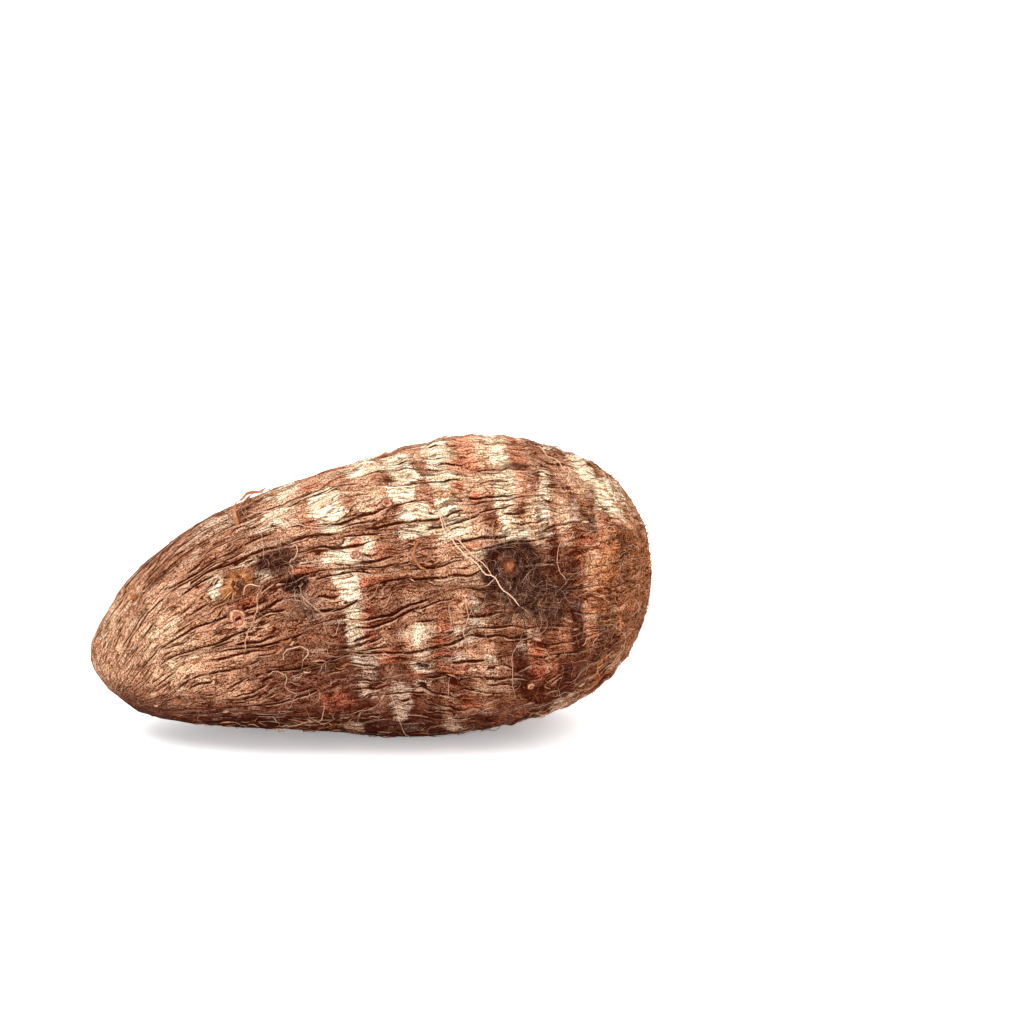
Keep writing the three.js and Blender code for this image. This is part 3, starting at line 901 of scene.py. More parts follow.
class Finish:
    """One material, with short calls for the few kinds of node that its pattern needs."""

    def __init__(self, name, roughness, specular):
        self.material = bpy.data.materials.new(name)
        self.material.use_nodes = True
        self.tree = self.material.node_tree
        self.shader = self.tree.nodes["Principled BSDF"]
        self.shader.inputs["Roughness"].default_value = roughness
        self.shader.inputs["Specular IOR Level"].default_value = specular

    def put(self, value, socket):
        """Links a socket, or sets a plain number or colour."""
        if isinstance(value, bpy.types.NodeSocket):
            self.tree.links.new(value, socket)
        elif socket.type == "RGBA":
            socket.default_value = (*value[:3], 1.0)
        else:
            socket.default_value = value

    def node(self, kind, **settings):
        """A new node of the given kind with its settings."""
        made = self.tree.nodes.new("ShaderNode" + kind)
        for key, value in settings.items():
            setattr(made, key, value)
        return made

    def math(self, operation, *values):
        """One sum on numbers or sockets."""
        made = self.node("Math", operation=operation)
        for value, socket in zip(values, made.inputs):
            self.put(value, socket)
        return made.outputs[0]

    def add(self, first, *others):
        """The sum of any number of values."""
        for value in others:
            first = self.math("ADD", first, value)
        return first

    def times(self, first, *others):
        """The product of any number of values."""
        for value in others:
            first = self.math("MULTIPLY", first, value)
        return first

    def less(self, first, *others):
        """The first value less all the others."""
        for value in others:
            first = self.math("SUBTRACT", first, value)
        return first

    def swing(self, value, width):
        """A value from 0 to 1 as a swing of the given width about 0."""
        return self.math("MULTIPLY_ADD", value, width, -0.5 * width)

    def distance(self, a, b=0.5):
        """How far two values are apart; from 0.5, a noise is near 0 along thin winding lines."""
        return self.math("ABSOLUTE", self.less(a, b))

    def fade(self, value, low, high, start=0.0, end=1.0):
        """An S-shaped change from start at low to end at high."""
        made = self.node("MapRange", interpolation_type="SMOOTHSTEP")
        for item, socket in zip((value, low, high, start, end), made.inputs):
            self.put(item, socket)
        return made.outputs[0]

    def scaled(self, vector, *scale):
        """A vector times one number for each axis; a number under 1 stretches a pattern along that axis."""
        made = self.node("VectorMath", operation="MULTIPLY")
        self.put(vector, made.inputs[0])
        self.put(scale, made.inputs[1])
        return made.outputs[0]

    def noise(self, vector, size, detail=2.0, rough=0.5):
        """Smooth noise from 0 to 1 with grains of about the given size."""
        made = self.node("TexNoise")
        self.put(vector, made.inputs["Vector"])
        made.inputs["Scale"].default_value = 1.0 / size
        made.inputs["Detail"].default_value = detail
        made.inputs["Roughness"].default_value = rough
        return made.outputs["Fac"]

    def pebbles(self, vector, size):
        """The distance to the nearest of many scattered points, about the given size apart."""
        made = self.node("TexVoronoi")
        self.put(vector, made.inputs["Vector"])
        made.inputs["Scale"].default_value = 1.0 / size
        return made.outputs["Distance"]

    def dice(self, value):
        """A steady random number for each whole number, from a value that is rounded down."""
        made = self.node("TexWhiteNoise", noise_dimensions="1D")
        self.put(self.math("FLOOR", value), made.inputs["W"])
        return made.outputs["Value"]

    def mix(self, share, a, b, blend="MIX"):
        """Colour a with a share of colour b over it."""
        made = self.node("Mix", data_type="RGBA", blend_type=blend)
        self.put(share, made.inputs[0])
        self.put(a, made.inputs[6])
        self.put(b, made.inputs[7])
        return made.outputs[2]

    def tinted(self, a, b):
        """The product of two colours."""
        return self.mix(1.0, a, b, "MULTIPLY")

    def ramp(self, value, *stops):
        """A colour that changes evenly from stop to stop."""
        made = self.node("ValToRGB")
        elements = made.color_ramp.elements
        while len(elements) < len(stops):
            elements.new(0.5)
        for element, (place, colour) in zip(elements, stops):
            element.position = place
            element.color = (*colour, 1.0)
        self.put(value, made.inputs[0])
        return made.outputs[0]

    def joined(self, kind, *values):
        """One colour or vector from three values."""
        made = self.node(kind)
        for value, socket in zip(values, made.inputs):
            self.put(value, socket)
        return made.outputs[0]

    def attribute(self, name):
        """The four channels of a point attribute."""
        made = self.node("Attribute", attribute_name=name)
        split = self.node("SeparateColor")
        self.put(made.outputs["Color"], split.inputs[0])
        return (*split.outputs[:3], made.outputs["Alpha"])

    def object_mm(self):
        """Object coordinates in millimetres."""
        return self.scaled(self.node("TexCoord").outputs["Object"], *(3 * [1.0 / MM]))

    def finish(self, colour, height=None, strength=0.5, distance=0.3, roughness=None):
        """Links the colour, a bump of the given distance in millimetres, and the roughness to the shader."""
        self.put(colour, self.shader.inputs["Base Color"])
        if height is not None:
            bump = self.node("Bump")
            bump.inputs["Strength"].default_value = strength
            bump.inputs["Distance"].default_value = distance * MM
            self.put(height, bump.inputs["Height"])
            self.put(bump.outputs[0], self.shader.inputs["Normal"])
        if roughness is not None:
            self.put(roughness, self.shader.inputs["Roughness"])
        return self.material


class BarkFinish(Finish):
    """Tan bark: toned strips, speckle and fibres, cream and red patches with frayed ends, dark cracks.

    The patterns are made once. Each step then takes a colour and gives it back with more painted over it.
    """

    def __init__(self, look):
        super().__init__("bark", 0.9, 0.02)
        self.look = look
        self.mm = self.object_mm()
        self.cream, self.red, self.dark, self.orange = self.attribute("Patches")
        # The tone channel holds painted light and shade: lighter higher up and on the tail's lit flank,
        # darker near the ground and on the crown's end.
        self.crack, self.gap, self.felt, self.tone = self.attribute("Relief")
        split = self.node("SeparateXYZ")
        self.put(self.node("UVMap", uv_map="Bark").outputs[0], split.inputs[0])
        u, v = split.outputs[:2]
        self.chart = self.rolled(u, v)

        wiggle = self.noise(self.lengthwise(0.4), 2.4, 3.0, 0.6)
        self.strips = self.add(self.times(u, float(STRIPS)), self.swing(wiggle, 0.5))
        self.nearest = self.math("ROUND", self.strips)
        self.off_crack = self.times(self.distance(self.strips, self.nearest), self.gap)
        place = self.math("MULTIPLY_ADD", v, CELLS_ALONG, self.times(self.dice(self.strips), 7.0))
        place = self.add(place, self.swing(wiggle, 0.8))
        row = self.math("FLOOR", place)
        self.cell_dice = self.dice(self.add(row, self.times(self.math("FLOOR", self.strips), 53.0)))
        self.blotch = self.noise(self.lengthwise(0.45), 3.2, 3.0, 0.6)
        self.fibre = self.noise(self.lengthwise(0.14), 0.55, 3.0, 0.6)
        self.grain = self.noise(self.mm, 0.5, 3.0, 0.85)
        self.pebble = self.pebbles(self.scaled(self.mm, 0.8, 1.0, 1.0), 1.0)

    def rolled(self, u, v):
        """The bark's map rolled up to a tube of about the corm's size, so that no pattern has a seam."""
        turn = self.times(u, 2.0 * math.pi)
        across = self.times(self.math("COSINE", turn), TUBE_RADIUS)
        up = self.times(self.math("SINE", turn), TUBE_RADIUS)
        return self.joined("CombineXYZ", across, up, self.times(v, TUBE_LENGTH))

    def lengthwise(self, share):
        """The rolled map for a pattern that is stretched along the corm: by 1 / share."""
        return self.scaled(self.chart, 1.0, 1.0, share)

    def toned(self):
        """Dark brown to pale tan by the bark's tone, with broad, middling and strip-wise changes; the tone
        holds painted light and shade.
        """
        broad = self.noise(self.mm, 14.0, 1.0)
        uneven = self.math("MULTIPLY_ADD", self.felt, 1.2, 0.24)
        mottled = self.times(self.less(self.blotch, 0.5), uneven)
        level = self.add(self.tone, self.swing(broad, 0.6), mottled, self.swing(self.cell_dice, 0.18))
        return self.ramp(
            self.math("MULTIPLY_ADD", level, 0.8, 0.2),
            (0.0, self.look.brown),
            (0.2, paint(97, 50, 32)),
            (0.47, paint(143, 91, 64)),
            (0.7, self.look.tan),
            (1.0, paint(228, 186, 146)),
        )

    def patched(self, colour):
        """Orange, cream and red patches; each starts where its strength plus a fray passes a limit."""
        fibre_dice = self.dice(self.times(self.strips, 4.0))
        fray = self.add(self.swing(self.cell_dice, 0.4), self.swing(fibre_dice, 0.36))
        fray = self.add(fray, self.swing(self.blotch, 0.9), self.swing(self.grain, 1.0))
        colour = self.mix(self.fade(self.orange, 0.0, 0.6), colour, self.tinted(colour, paint(249, 194, 140)))
        orange_share = self.fade(self.add(self.orange, fray), 0.5, 1.2, 0.0, 0.5)
        colour = self.mix(orange_share, colour, self.look.orange)

        cream_fray = self.less(fray, self.swing(self.blotch, 0.35))
        cream_share = self.fade(self.add(self.cream, cream_fray), 0.12, 0.8, 0.0, 0.82)
        self.cream_share = self.add(cream_share, self.fade(self.cream, 1.1, 1.9, 0.0, 0.16))
        pale = self.mix(self.fade(self.tone, 0.1, 0.6), paint(200, 166, 140), self.look.cream)
        pale = self.mix(self.fade(self.grain, 0.35, 0.6, 0.35, 0.0), pale, paint(196, 154, 120))
        colour = self.mix(self.cream_share, colour, pale)

        red_share = self.fade(self.add(self.red, self.times(fray, 0.6)), 0.25, 0.9, 0.0, 0.68)
        rust = self.mix(self.fade(self.grain, 0.4, 0.6), self.look.red, paint(192, 108, 72))
        rust = self.mix(0.5, rust, self.tinted(colour, paint(255, 176, 152)))
        self.dark_share = self.fade(self.add(self.dark, self.times(fray, 0.8)), 0.1, 0.9, 0.0, 0.97)
        return self.mix(red_share, colour, rust)

    def webbed(self, colour):
        """Dark patches and pale felt under a web of fine fibres: two noises near their middle values."""
        web_a = self.distance(self.noise(self.lengthwise(0.5), 0.9))
        web_b = self.distance(self.noise(self.scaled(self.mm, 0.5, 1.0, 0.6), 0.8))
        line_a = self.fade(web_a, 0.0, 0.035, 1.0, 0.0)
        web = self.math("MAXIMUM", line_a, self.fade(web_b, 0.0, 0.03, 1.0, 0.0))
        half_web = self.times(web, 0.5)
        colour = self.mix(self.dark_share, colour, self.mix(half_web, self.look.dark, paint(124, 76, 58)))
        return self.mix(self.times(self.felt, half_web), colour, paint(216, 170, 122))

    def speckled(self, colour):
        """Light and dark by fibres, grains, pebbles and painted shade by open cracks; dark ones redder, light
        ones paler.
        """
        streak = self.fade(self.fibre, 0.28, 0.72, 0.55, 1.45)
        speckle = self.fade(self.grain, 0.34, 0.62, 0.02, 1.66)
        speckle = self.math("POWER", speckle, self.fade(self.tone, 0.1, 0.8, 1.5, 1.0))
        speckle = self.times(speckle, self.fade(self.pebble, 0.1, 0.8, 1.12, 0.86))
        speckle = self.mix(self.times(self.cream_share, 0.6), speckle, WHITE)
        grain_and_crack_shade = self.math("MINIMUM", self.times(streak, speckle), 1.42)
        # Painted shade: within 0.1 to 0.8 mm of an open crack the bark darkens to 0.6 of its colour, by how
        # far the crack is open.
        painted_crack_shade = self.fade(self.off_crack, 0.1, 0.8, 0.6, 1.0)
        grain_and_crack_shade = self.times(grain_and_crack_shade, self.mix(self.crack, WHITE, painted_crack_shade))
        tint = self.joined("CombineColor", *(self.math("POWER", grain_and_crack_shade, power) for power in (1.0, 1.5, 2.0)))
        return self.tinted(colour, tint)

    def cracked(self, colour):
        """Hair lines, wrinkles and open cracks, a pale painted highlight below each crack and a painted brown
        shade beside them; keeps both lines.
        """
        hair = self.distance(self.noise(self.lengthwise(0.18), 1.5))
        hair_line = self.fade(hair, 0.008, 0.028, 1.0, 0.0)
        hair_line = self.times(hair_line, self.fade(self.blotch, 0.4, 0.6, 0.85, 0.2))
        wrinkle = self.distance(self.noise(self.lengthwise(0.17), 2.1))
        broken = self.noise(self.lengthwise(0.6), 3.4)
        opened = self.times(self.fade(broken, 0.42, 0.5), self.fade(self.tone, 0.4, 1.0, 1.0, 0.6))
        wrinkle_line = self.times(self.fade(wrinkle, 0.01, 0.032, 1.0, 0.0), opened)
        hair_line = self.math("MAXIMUM", hair_line, wrinkle_line)
        self.hair_line = self.times(hair_line, self.fade(self.cream, 1.1, 1.9, 1.0, 0.25))

        width = self.times(self.crack, self.fade(self.grain, 0.3, 0.7, 0.54, 0.32))
        width = self.times(width, self.fade(self.gap, 0.6, 2.2, 0.3, 1.0))
        line = self.fade(self.off_crack, self.times(width, 0.35), self.add(width, 0.04), 1.0, 0.0)
        self.crack_line = self.times(line, self.fade(self.crack, 0.05, 0.3))
        # Painted highlight: a pale line along the lower edge of each open crack, as where light from above
        # catches it.
        below = self.times(self.less(self.strips, self.nearest), self.gap)
        lip_highlight = self.fade(self.distance(below, self.add(width, 0.25)), 0.0, 0.25, 0.6, 0.0)
        colour = self.mix(self.times(lip_highlight, self.crack), colour, paint(236, 200, 172))

        # Painted shade: a brown band beside each wrinkle and open crack, weaker where the tone is high.
        wrinkle_rim_shade = self.times(self.fade(wrinkle, 0.01, 0.08, 1.0, 0.0), opened)
        crack_rim_shade = self.times(self.crack, self.fade(self.off_crack, 0.1, 0.9, 1.0, 0.0))
        rim = self.math("MAXIMUM", wrinkle_rim_shade, crack_rim_shade)
        rim = self.times(rim, self.fade(self.tone, 0.3, 0.9, 0.7, 0.3))
        colour = self.mix(rim, colour, self.tinted(colour, paint(216, 172, 132)))
        dark_line = self.math("MAXIMUM", self.hair_line, self.times(self.crack_line, 0.95))
        return self.mix(dark_line, colour, self.look.crack)

    def painted(self):
        """All the steps in order, with the fine relief of fibres, grains, pebbles and lines."""
        colour = self.cracked(self.speckled(self.webbed(self.patched(self.toned()))))
        height = self.add(self.times(self.fibre, 0.7), self.times(self.grain, 0.8))
        height = self.less(height, self.times(self.pebble, 0.4))
        height = self.less(height, self.times(self.hair_line, 0.5), self.times(self.crack_line, 0.9))
        roughness = self.fade(self.blotch, 0.3, 0.7, 0.72, 0.92)
        return self.finish(colour, height, 1.0, self.look.relief, roughness)


def fibre_material(name, dark, pale, middle=paint(150, 92, 56)):
    """Dry fibre: from a dark to a pale colour by the fibre's own tone, some of it reddish."""
    f = Finish(name, 0.85, 0.03)
    tone, dice, _, _ = f.attribute("Tone")
    mottle = f.swing(f.noise(f.object_mm(), 1.2), 0.6)
    colour = f.ramp(f.add(tone, mottle), (0.0, dark), (0.5, middle), (1.0, pale))
    return f.finish(f.mix(f.fade(dice, 0.7, 1.0, 0.0, 0.4), colour, paint(160, 84, 50)))


def mark_material(name, *stops, blurred=0.7):
    """A round mark on the bark: rings of colour with blurred edges, by share of the radius."""
    f = Finish(name, 0.9, 0.05)
    share, _, _, _ = f.attribute("Mark")
    mm = f.object_mm()
    grain = f.noise(mm, 0.45, 2.0, 0.75)
    blur = f.swing(f.noise(f.scaled(mm, 1.0, 1.0, 0.5), 0.7, 3.0, 0.7), blurred)
    light = f.fade(grain, 0.3, 0.7, 0.5, 1.5)
    colour = f.tinted(f.ramp(f.add(share, blur), *stops), f.joined("CombineColor", light, light, light))
    return f.finish(colour, grain, 0.8, 0.3)


SCAR_RINGS = (
    (0.0, paint(44, 14, 10)),
    (0.16, paint(128, 40, 28)),
    (0.3, paint(190, 124, 98)),
    (0.5, paint(132, 66, 46)),
    (0.66, paint(208, 160, 128)),
    (0.86, paint(92, 48, 32)),
    (1.0, paint(146, 98, 68)),
)
# Painted shade: the root hole is near-black out to over half its width, as the shade in its depth.
HOLE_RINGS = (
    (0.0, paint(16, 10, 12)),
    (0.56, paint(28, 18, 20)),
    (0.64, paint(112, 84, 80)),
    (0.8, paint(170, 138, 124)),
    (1.0, paint(132, 92, 74)),
)
# Painted shade: the broken root's crater is near-black in its middle, as the shade in its hollow.
STUMP_RINGS = (
    (0.0, paint(20, 12, 14)),
    (0.3, paint(30, 16, 16)),
    (0.46, paint(84, 40, 22)),
    (0.7, paint(126, 72, 42)),
    (1.0, paint(130, 80, 54)),
)
BUD_RINGS = (
    (0.0, paint(156, 98, 62)),
    (0.22, paint(122, 68, 42)),
    (0.32, paint(48, 20, 14)),
    (0.48, paint(120, 80, 62)),
    (0.54, paint(36, 16, 14)),
    (0.74, paint(96, 60, 48)),
    (0.82, paint(34, 15, 13)),
)


# Settings that a user would change

def count_setting(name, description, default):
    """A setting for how many there are of something."""
    return bpy.props.IntProperty(name=name, description=description, default=default, min=1)


def colour_setting(name, description, default):
    """A setting for a colour."""
    return bpy.props.FloatVectorProperty(
        name=name, description=description, default=default, subtype="COLOR", size=3, min=0.0, max=1.0
    )


class TaroBarkSettings(bpy.types.PropertyGroup):
    """Colours of the bark."""

    tan: colour_setting("Tan", "Colour of the light bark", paint(194, 140, 106))
    brown: colour_setting("Brown", "Colour of the dark bark", paint(68, 26, 14))
    cream: colour_setting("Cream", "Colour of the bare patches at the leaf scars", paint(240, 224, 190))
    red: colour_setting("Red", "Colour of the rust-red flecks", paint(180, 64, 38))
    orange: colour_setting("Orange", "Colour of the bark at the crown", paint(168, 96, 56))
    dark: colour_setting("Dark", "Colour of the fuzzy patches round the buds", paint(36, 15, 11))
    crack: colour_setting("Crack", "Colour inside the cracks", paint(60, 14, 2))
    relief: bpy.props.FloatProperty(
        name="Relief", description="Depth of the bark's fine relief in millimetres", default=0.4, min=0.0
    )


class TaroFibreSettings(bpy.types.PropertyGroup):
    """Colours and numbers of the fibres and flakes."""

    dark: colour_setting("Dark fibre", "Colour of the darkest fibres", paint(60, 26, 14))
    pale: colour_setting("Pale fibre", "Colour of the palest fibres", paint(222, 184, 156))
    lying: count_setting("Lying fibres", "Number of short fibres pressed on the bark", LYING_FIBRES)
    felt: count_setting("Felt fibres", "Number of short curly fibres towards the crown", FELT_FIBRES)
    loose: count_setting("Loose fibres", "Number of long fibres beside the hand-placed ones", LOOSE_COUNT)
    flakes: count_setting("Little flakes", "Number of small flakes beside the cracks", LITTLE_FLAKES)
    sheath: count_setting("Sheath fibres", "Number of torn fibres on the crown's ridges", SHEATH_STRIPS)


class TaroStageSettings(bpy.types.PropertyGroup):
    """The floor, the lights and the camera."""

    floor: colour_setting("Floor", "Colour of the floor", paint(247, 247, 247))
    key: bpy.props.FloatProperty(
        name="Key light", description="Power of the large light", default=15.0, min=0.0, unit="POWER"
    )
    fill: bpy.props.FloatProperty(
        name="Fill light", description="Power of the soft lights", default=2.5, min=0.0, unit="POWER"
    )
    sky: bpy.props.FloatProperty(
        name="Sky", description="Brightness of the light from all sides", default=0.92, min=0.0
    )
    distance: bpy.props.FloatProperty(
        name="Camera distance", description="From the camera to the corm's middle", default=1.1, unit="LENGTH"
    )
    azimuth: bpy.props.FloatProperty(
        name="Azimuth",
        description="Turn of the camera round the corm",
        default=math.radians(-5),
        subtype="ANGLE",
    )
    elevation: bpy.props.FloatProperty(
        name="Elevation",
        description="Height of the camera as an angle",
        default=math.radians(14),
        subtype="ANGLE",
    )


# Operators

class TARO_OT_bark(bpy.types.Operator):
    """Build the bark over the whole corm"""

    bl_idname = "taro.bark"
    bl_label = "Bark"

    def execute(self, context):
        rows, columns = len(BARK.rows), COLUMNS
        grid = BARK.points
        points = np.concatenate([grid[:1, 0], grid[1:-1].reshape(-1, 3), grid[-1:, 0]])
        row = np.arange(rows - 3)[:, None] * columns + 1
        here = np.arange(columns)[None, :]
        after = (here + 1) % columns
        quads = np.stack([row + here, row + after, row + columns + after, row + columns + here], axis=-1)
        top = np.stack([np.zeros(columns, int), 1 + after[0], 1 + here[0]], axis=-1)
        end = 1 + (rows - 3) * columns
        bottom = np.stack([np.full(columns, len(points) - 1), end + here[0], end + after[0]], axis=-1)
        material = BarkFinish(context.scene.taro_bark).painted()
        bark = new_object("taro_bark", points, [quads.reshape(-1, 4), top, bottom], material)
        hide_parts("corm")
        self.map_bark(bark, rows)
        self.colour_bark(bark)
        return {"FINISHED"}

    @staticmethod
    def map_bark(bark, rows):
        """The map's u runs once round the corm with the cracks, and its v from tail to crown."""
        u = np.append(BARK.place, STRIPS) / STRIPS
        v = BARK.rows / 180.0
        left, right = u[:-1], u[1:]
        middle = 0.5 * (left + right)
        quad_u = np.broadcast_to(np.stack([left, right, right, left], -1), (rows - 3, COLUMNS, 4))
        low, high = v[1:-2, None, None], v[2:-1, None, None]
        quad_v = np.broadcast_to(np.concatenate([low, low, high, high], axis=-1), (rows - 3, COLUMNS, 4))
        fan = np.ones(COLUMNS)
        top_u = np.stack([middle, right, left], -1)
        top_v = np.stack([fan * v[0], fan * v[1], fan * v[1]], -1)
        bottom_u = np.stack([middle, left, right], -1)
        bottom_v = np.stack([fan * v[-1], fan * v[-2], fan * v[-2]], -1)
        corner_map(
            bark,
            "Bark",
            np.concatenate([quad_u.ravel(), top_u.ravel(), bottom_u.ravel()]),
            np.concatenate([quad_v.ravel(), top_v.ravel(), bottom_v.ravel()]),
        )

    @staticmethod
    def bands(along, around):
        """Each half ring has its own tone, which changes at random in cells of 24 degrees round the corm."""
        ring = np.floor((along - RING_FIRST) / RING_GAP * 2.0 + 0.5)
        place = around / 24.0 + 3.0 * chance(ring, 32)
        cell = np.floor(place)
        share = smoothstep(place - cell, 0.2, 0.8)
        own = lerp(chance(ring + 17.0 * cell, 33), chance(ring + 17.0 * (cell + 1.0), 33), share) - 0.5
        return lerp(0.36, 1.1, smoothstep(along, 100.0, 126.0)) * own * smoothstep(along, 78.0, 90.0)

    def colour_bark(self, bark):
        """Two attributes: patches of colour, and crack strength, strip width, felt and a tone that holds
        painted light and shade.
        """
        along = BARK.rows[:, None]
        around = (360.0 * BARK.place / STRIPS)[None, :]
        shape = BARK.points.shape[:2]
        cream = patches(along, around, CREAM_PATCHES + hidden_spots(46, 41, 2.6, 10.0, True))
        red = patches(along, around, RED_FLECKS + hidden_spots(40, 51, 1.9, 3.2, False))
        dark = patches(along, around, DARK_PATCHES, 2.0)
        from_ring = 0.25 * smoothstep(along, 112.0, 130.0) + 0.8 * smoothstep(along, 134.0, 152.0)
        side = smoothstep(around, 128.0, 172.0) * (1.0 - smoothstep(around, 320.0, 350.0))
        orange = from_ring * lerp(0.05, 1.0, side) * (1.0 - smoothstep(along, 160.0, 170.0))
        gap = np.linalg.norm(np.roll(BARK.smooth, -5, axis=1) - BARK.smooth, axis=-1)
        felt = 0.8 * smoothstep(along, 126.0, 146.0) * (1.0 - np.clip(cream, 0.0, 1.0))
        z = BARK.smooth[..., 2] / 95.0
        ring = np.cos(2.0 * np.pi * (along - RING_FIRST) / RING_GAP) * smoothstep(along, 74.0, 84.0)
        high = lerp(1.0, 0.55, smoothstep(z, 0.6, 0.85))
        ring = ring * lerp(0.05, 0.12, smoothstep(along, 104.0, 128.0)) + self.bands(along, around) * high
        # Painted light: the tail's flank is lifted where the key light from the left falls on it, and little
        # near the ground and at the top.
        tail = 0.58 * (1.0 - smoothstep(along, 40.0, 80.0)) * smoothstep(z, 0.03, 0.28)
        tail = tail * lerp(1.0, 0.15, smoothstep(z, 0.42, 0.7))
        # Painted shade: darker near the ground, where the corm shades its own underside.
        under = 0.42 * (1.0 - smoothstep(z, 0.0, 0.25))
        # Painted light: the tone rises with height, as if lit from above; the ring bands are the bark's own
        # colour.
        tone = 0.05 + 0.66 * smoothstep(z, 0.0, 0.95) + tail + ring - under
        tone = tone - 0.08 * (1.0 - smoothstep(along, 92.0, 112.0)) - 0.2 * np.minimum(orange, 1.0)
        # Painted shade: darker on the crown's end except near the ground, as a shadow cast over that end.
        tone = tone - 0.15 * smoothstep(along, 118.0, 132.0) * smoothstep(z, 0.15, 0.45)
        tone = tone - 0.12 * (1.0 - smoothstep(along, 50.0, 80.0)) * smoothstep(z, 0.35, 0.6)
        waist = smoothstep(along, 94.0, 100.0) * (1.0 - smoothstep(along, 108.0, 114.0))
        tone = tone + 0.09 * waist * (1.0 - smoothstep(z, 0.55, 0.75))

        def flat(field):
            """A field in the order of the bark's points: one value for each pole, and all between."""
            field = np.broadcast_to(field, shape)
            return np.concatenate([field[:1, 0], field[1:-1].ravel(), field[-1:, 0]])

        point_colour(bark, "Patches", [flat(cream), flat(red), flat(dark), flat(orange)])
        point_colour(bark, "Relief", [flat(BARK.crack), flat(gap), flat(felt), flat(tone)])


class TARO_OT_root_marks(bpy.types.Operator):
    """Build the root scars, the root stubs and the broken root"""

    bl_idname = "taro.root_marks"
    bl_label = "Root marks"

    def execute(self, context):
        scars = mark_material("root_scar", *SCAR_RINGS, blurred=0.4)
        k = np.arange(HIDDEN_SCARS)
        along = 50.0 + 95.0 * (k + 0.5) / HIDDEN_SCARS
        around = np.mod(-50.0 + 150.0 * chance(k, 8), 360.0)
        radius = HIDDEN_SCAR_RADIUS * lerp(0.75, 1.25, chance(k, 9))
        spots = [(*scar, 0.7) for scar in ROOT_SCARS] + list(zip(along, around, radius, np.full(len(k), 0.7)))
        mounds("root_scars", spots, SCAR_PROFILE, 22, 0.24, scars)
        self.holes(mark_material("root_hole", *HOLE_RINGS))
        self.broken_root(mark_material("broken_root", *STUMP_RINGS))
        self.stubs()
        return {"FINISHED"}

    @staticmethod
    def holes(material):
        """A torn rim round each root hole."""
        spots = [(along, around, radius, 0.6) for along, around, radius, _ in ROOT_HOLES]
        mounds("root_hole_rims", spots, HOLE_PROFILE, 28, 0.16, material)

    @staticmethod
    def broken_root(material):
        """The stump of a broken root: a torn crater with a fan of short fibres over its upper half."""
        along, around, radius, _ = BROKEN_ROOT
        mounds("broken_root", [BROKEN_ROOT], STUMP_PROFILE, 48, 0.2, material)
        centre, (ahead, up, side) = BARK.frame_at(along, around)
        place, far, high, thick, tone, own, lean, bend, near = draws(RAYS, RAY_SEED, 9)
        angle = np.radians(-30.0 + 250.0 * (np.arange(RAYS) + 0.8 * place) / RAYS)
        reach = radius * lerp(0.3, 0.75, far) * lerp(0.7, 1.3, smoothstep(angle, 0.5, 2.4))
        steps = 6
        s = np.linspace(0.0, 1.0, steps)[None, :, None]
        turn = (angle + swings(lean, 1.2))[:, None, None] + swings(bend, 0.8)[:, None, None] * s
        out = 1.35 * np.cos(turn) * ahead - 0.9 * np.sin(turn) * side
        from_middle = (0.9 + 0.9 * near)[:, None, None]
        rise = lerp(0.3, 1.4, high)[:, None, None]
        rise = 0.3 + rise * np.sin(2.4 * s) - 0.4 * s
        paths = centre + out * (from_middle + reach[:, None, None] * s) + up * rise
        radii = lerp(0.06, 0.13, thick)[:, None] * (1.05 - 0.6 * s[..., 0])
        look = fibre_material("ray", paint(92, 40, 20), paint(234, 188, 130), paint(190, 116, 62))
        outward = np.broadcast_to(up, paths.shape)
        tube_object("broken_root_rays", paths, radii, 6, look, tone, own, outward, 0.35)

    @staticmethod
    def stubs():
        """Short root stubs: each starts inside the bark, leans, bends a little and ends blunt."""
        along, around, radius, length, lean = np.array(ROOT_STUBS, float).T
        points, normals = BARK.at(along, around)
        ahead, _ = BARK.at(along + 1.0, around)
        ahead = ahead - points
        ahead /= np.linalg.norm(ahead, axis=-1, keepdims=True)
        tilt = np.radians(lean)[:, None]
        way = normals * np.cos(tilt) + ahead * np.sin(tilt)
        steps = 9
        s = np.linspace(-0.6, 1.0, steps)[None, :, None]
        bend = 0.35 * np.cross(way, normals) + 0.15 * ahead
        paths = points[:, None] + way[:, None] * (length[:, None, None] * s) + bend[:, None] * (s * s)
        k = np.arange(len(along))[:, None]
        radii = radius[:, None] * (1.0 - 0.35 * s[..., 0] + 0.12 * np.sin(9.0 * s[..., 0] + k))
        look = fibre_material("stub", paint(88, 48, 28), paint(214, 166, 118))
        made = new_object("root_stubs", *tubes(paths, radii, 12), look)
        tone = 0.35 + 0.4 * np.clip(s[..., 0], 0.0, 1.0) + 0.0 * k
        tone = np.concatenate([np.repeat(tone, 12, axis=1), np.full((len(along), 2), 0.8)], axis=1)
        point_colour(made, "Tone", [tone.ravel(), 0.2])


class TARO_OT_buds(bpy.types.Operator):
    """Build the buds"""

    bl_idname = "taro.buds"
    bl_label = "Buds"

    def execute(self, context):
        mounds("buds", BUDS, BUD_PROFILE, 56, 0.2, mark_material("bud", *BUD_RINGS))
        return {"FINISHED"}


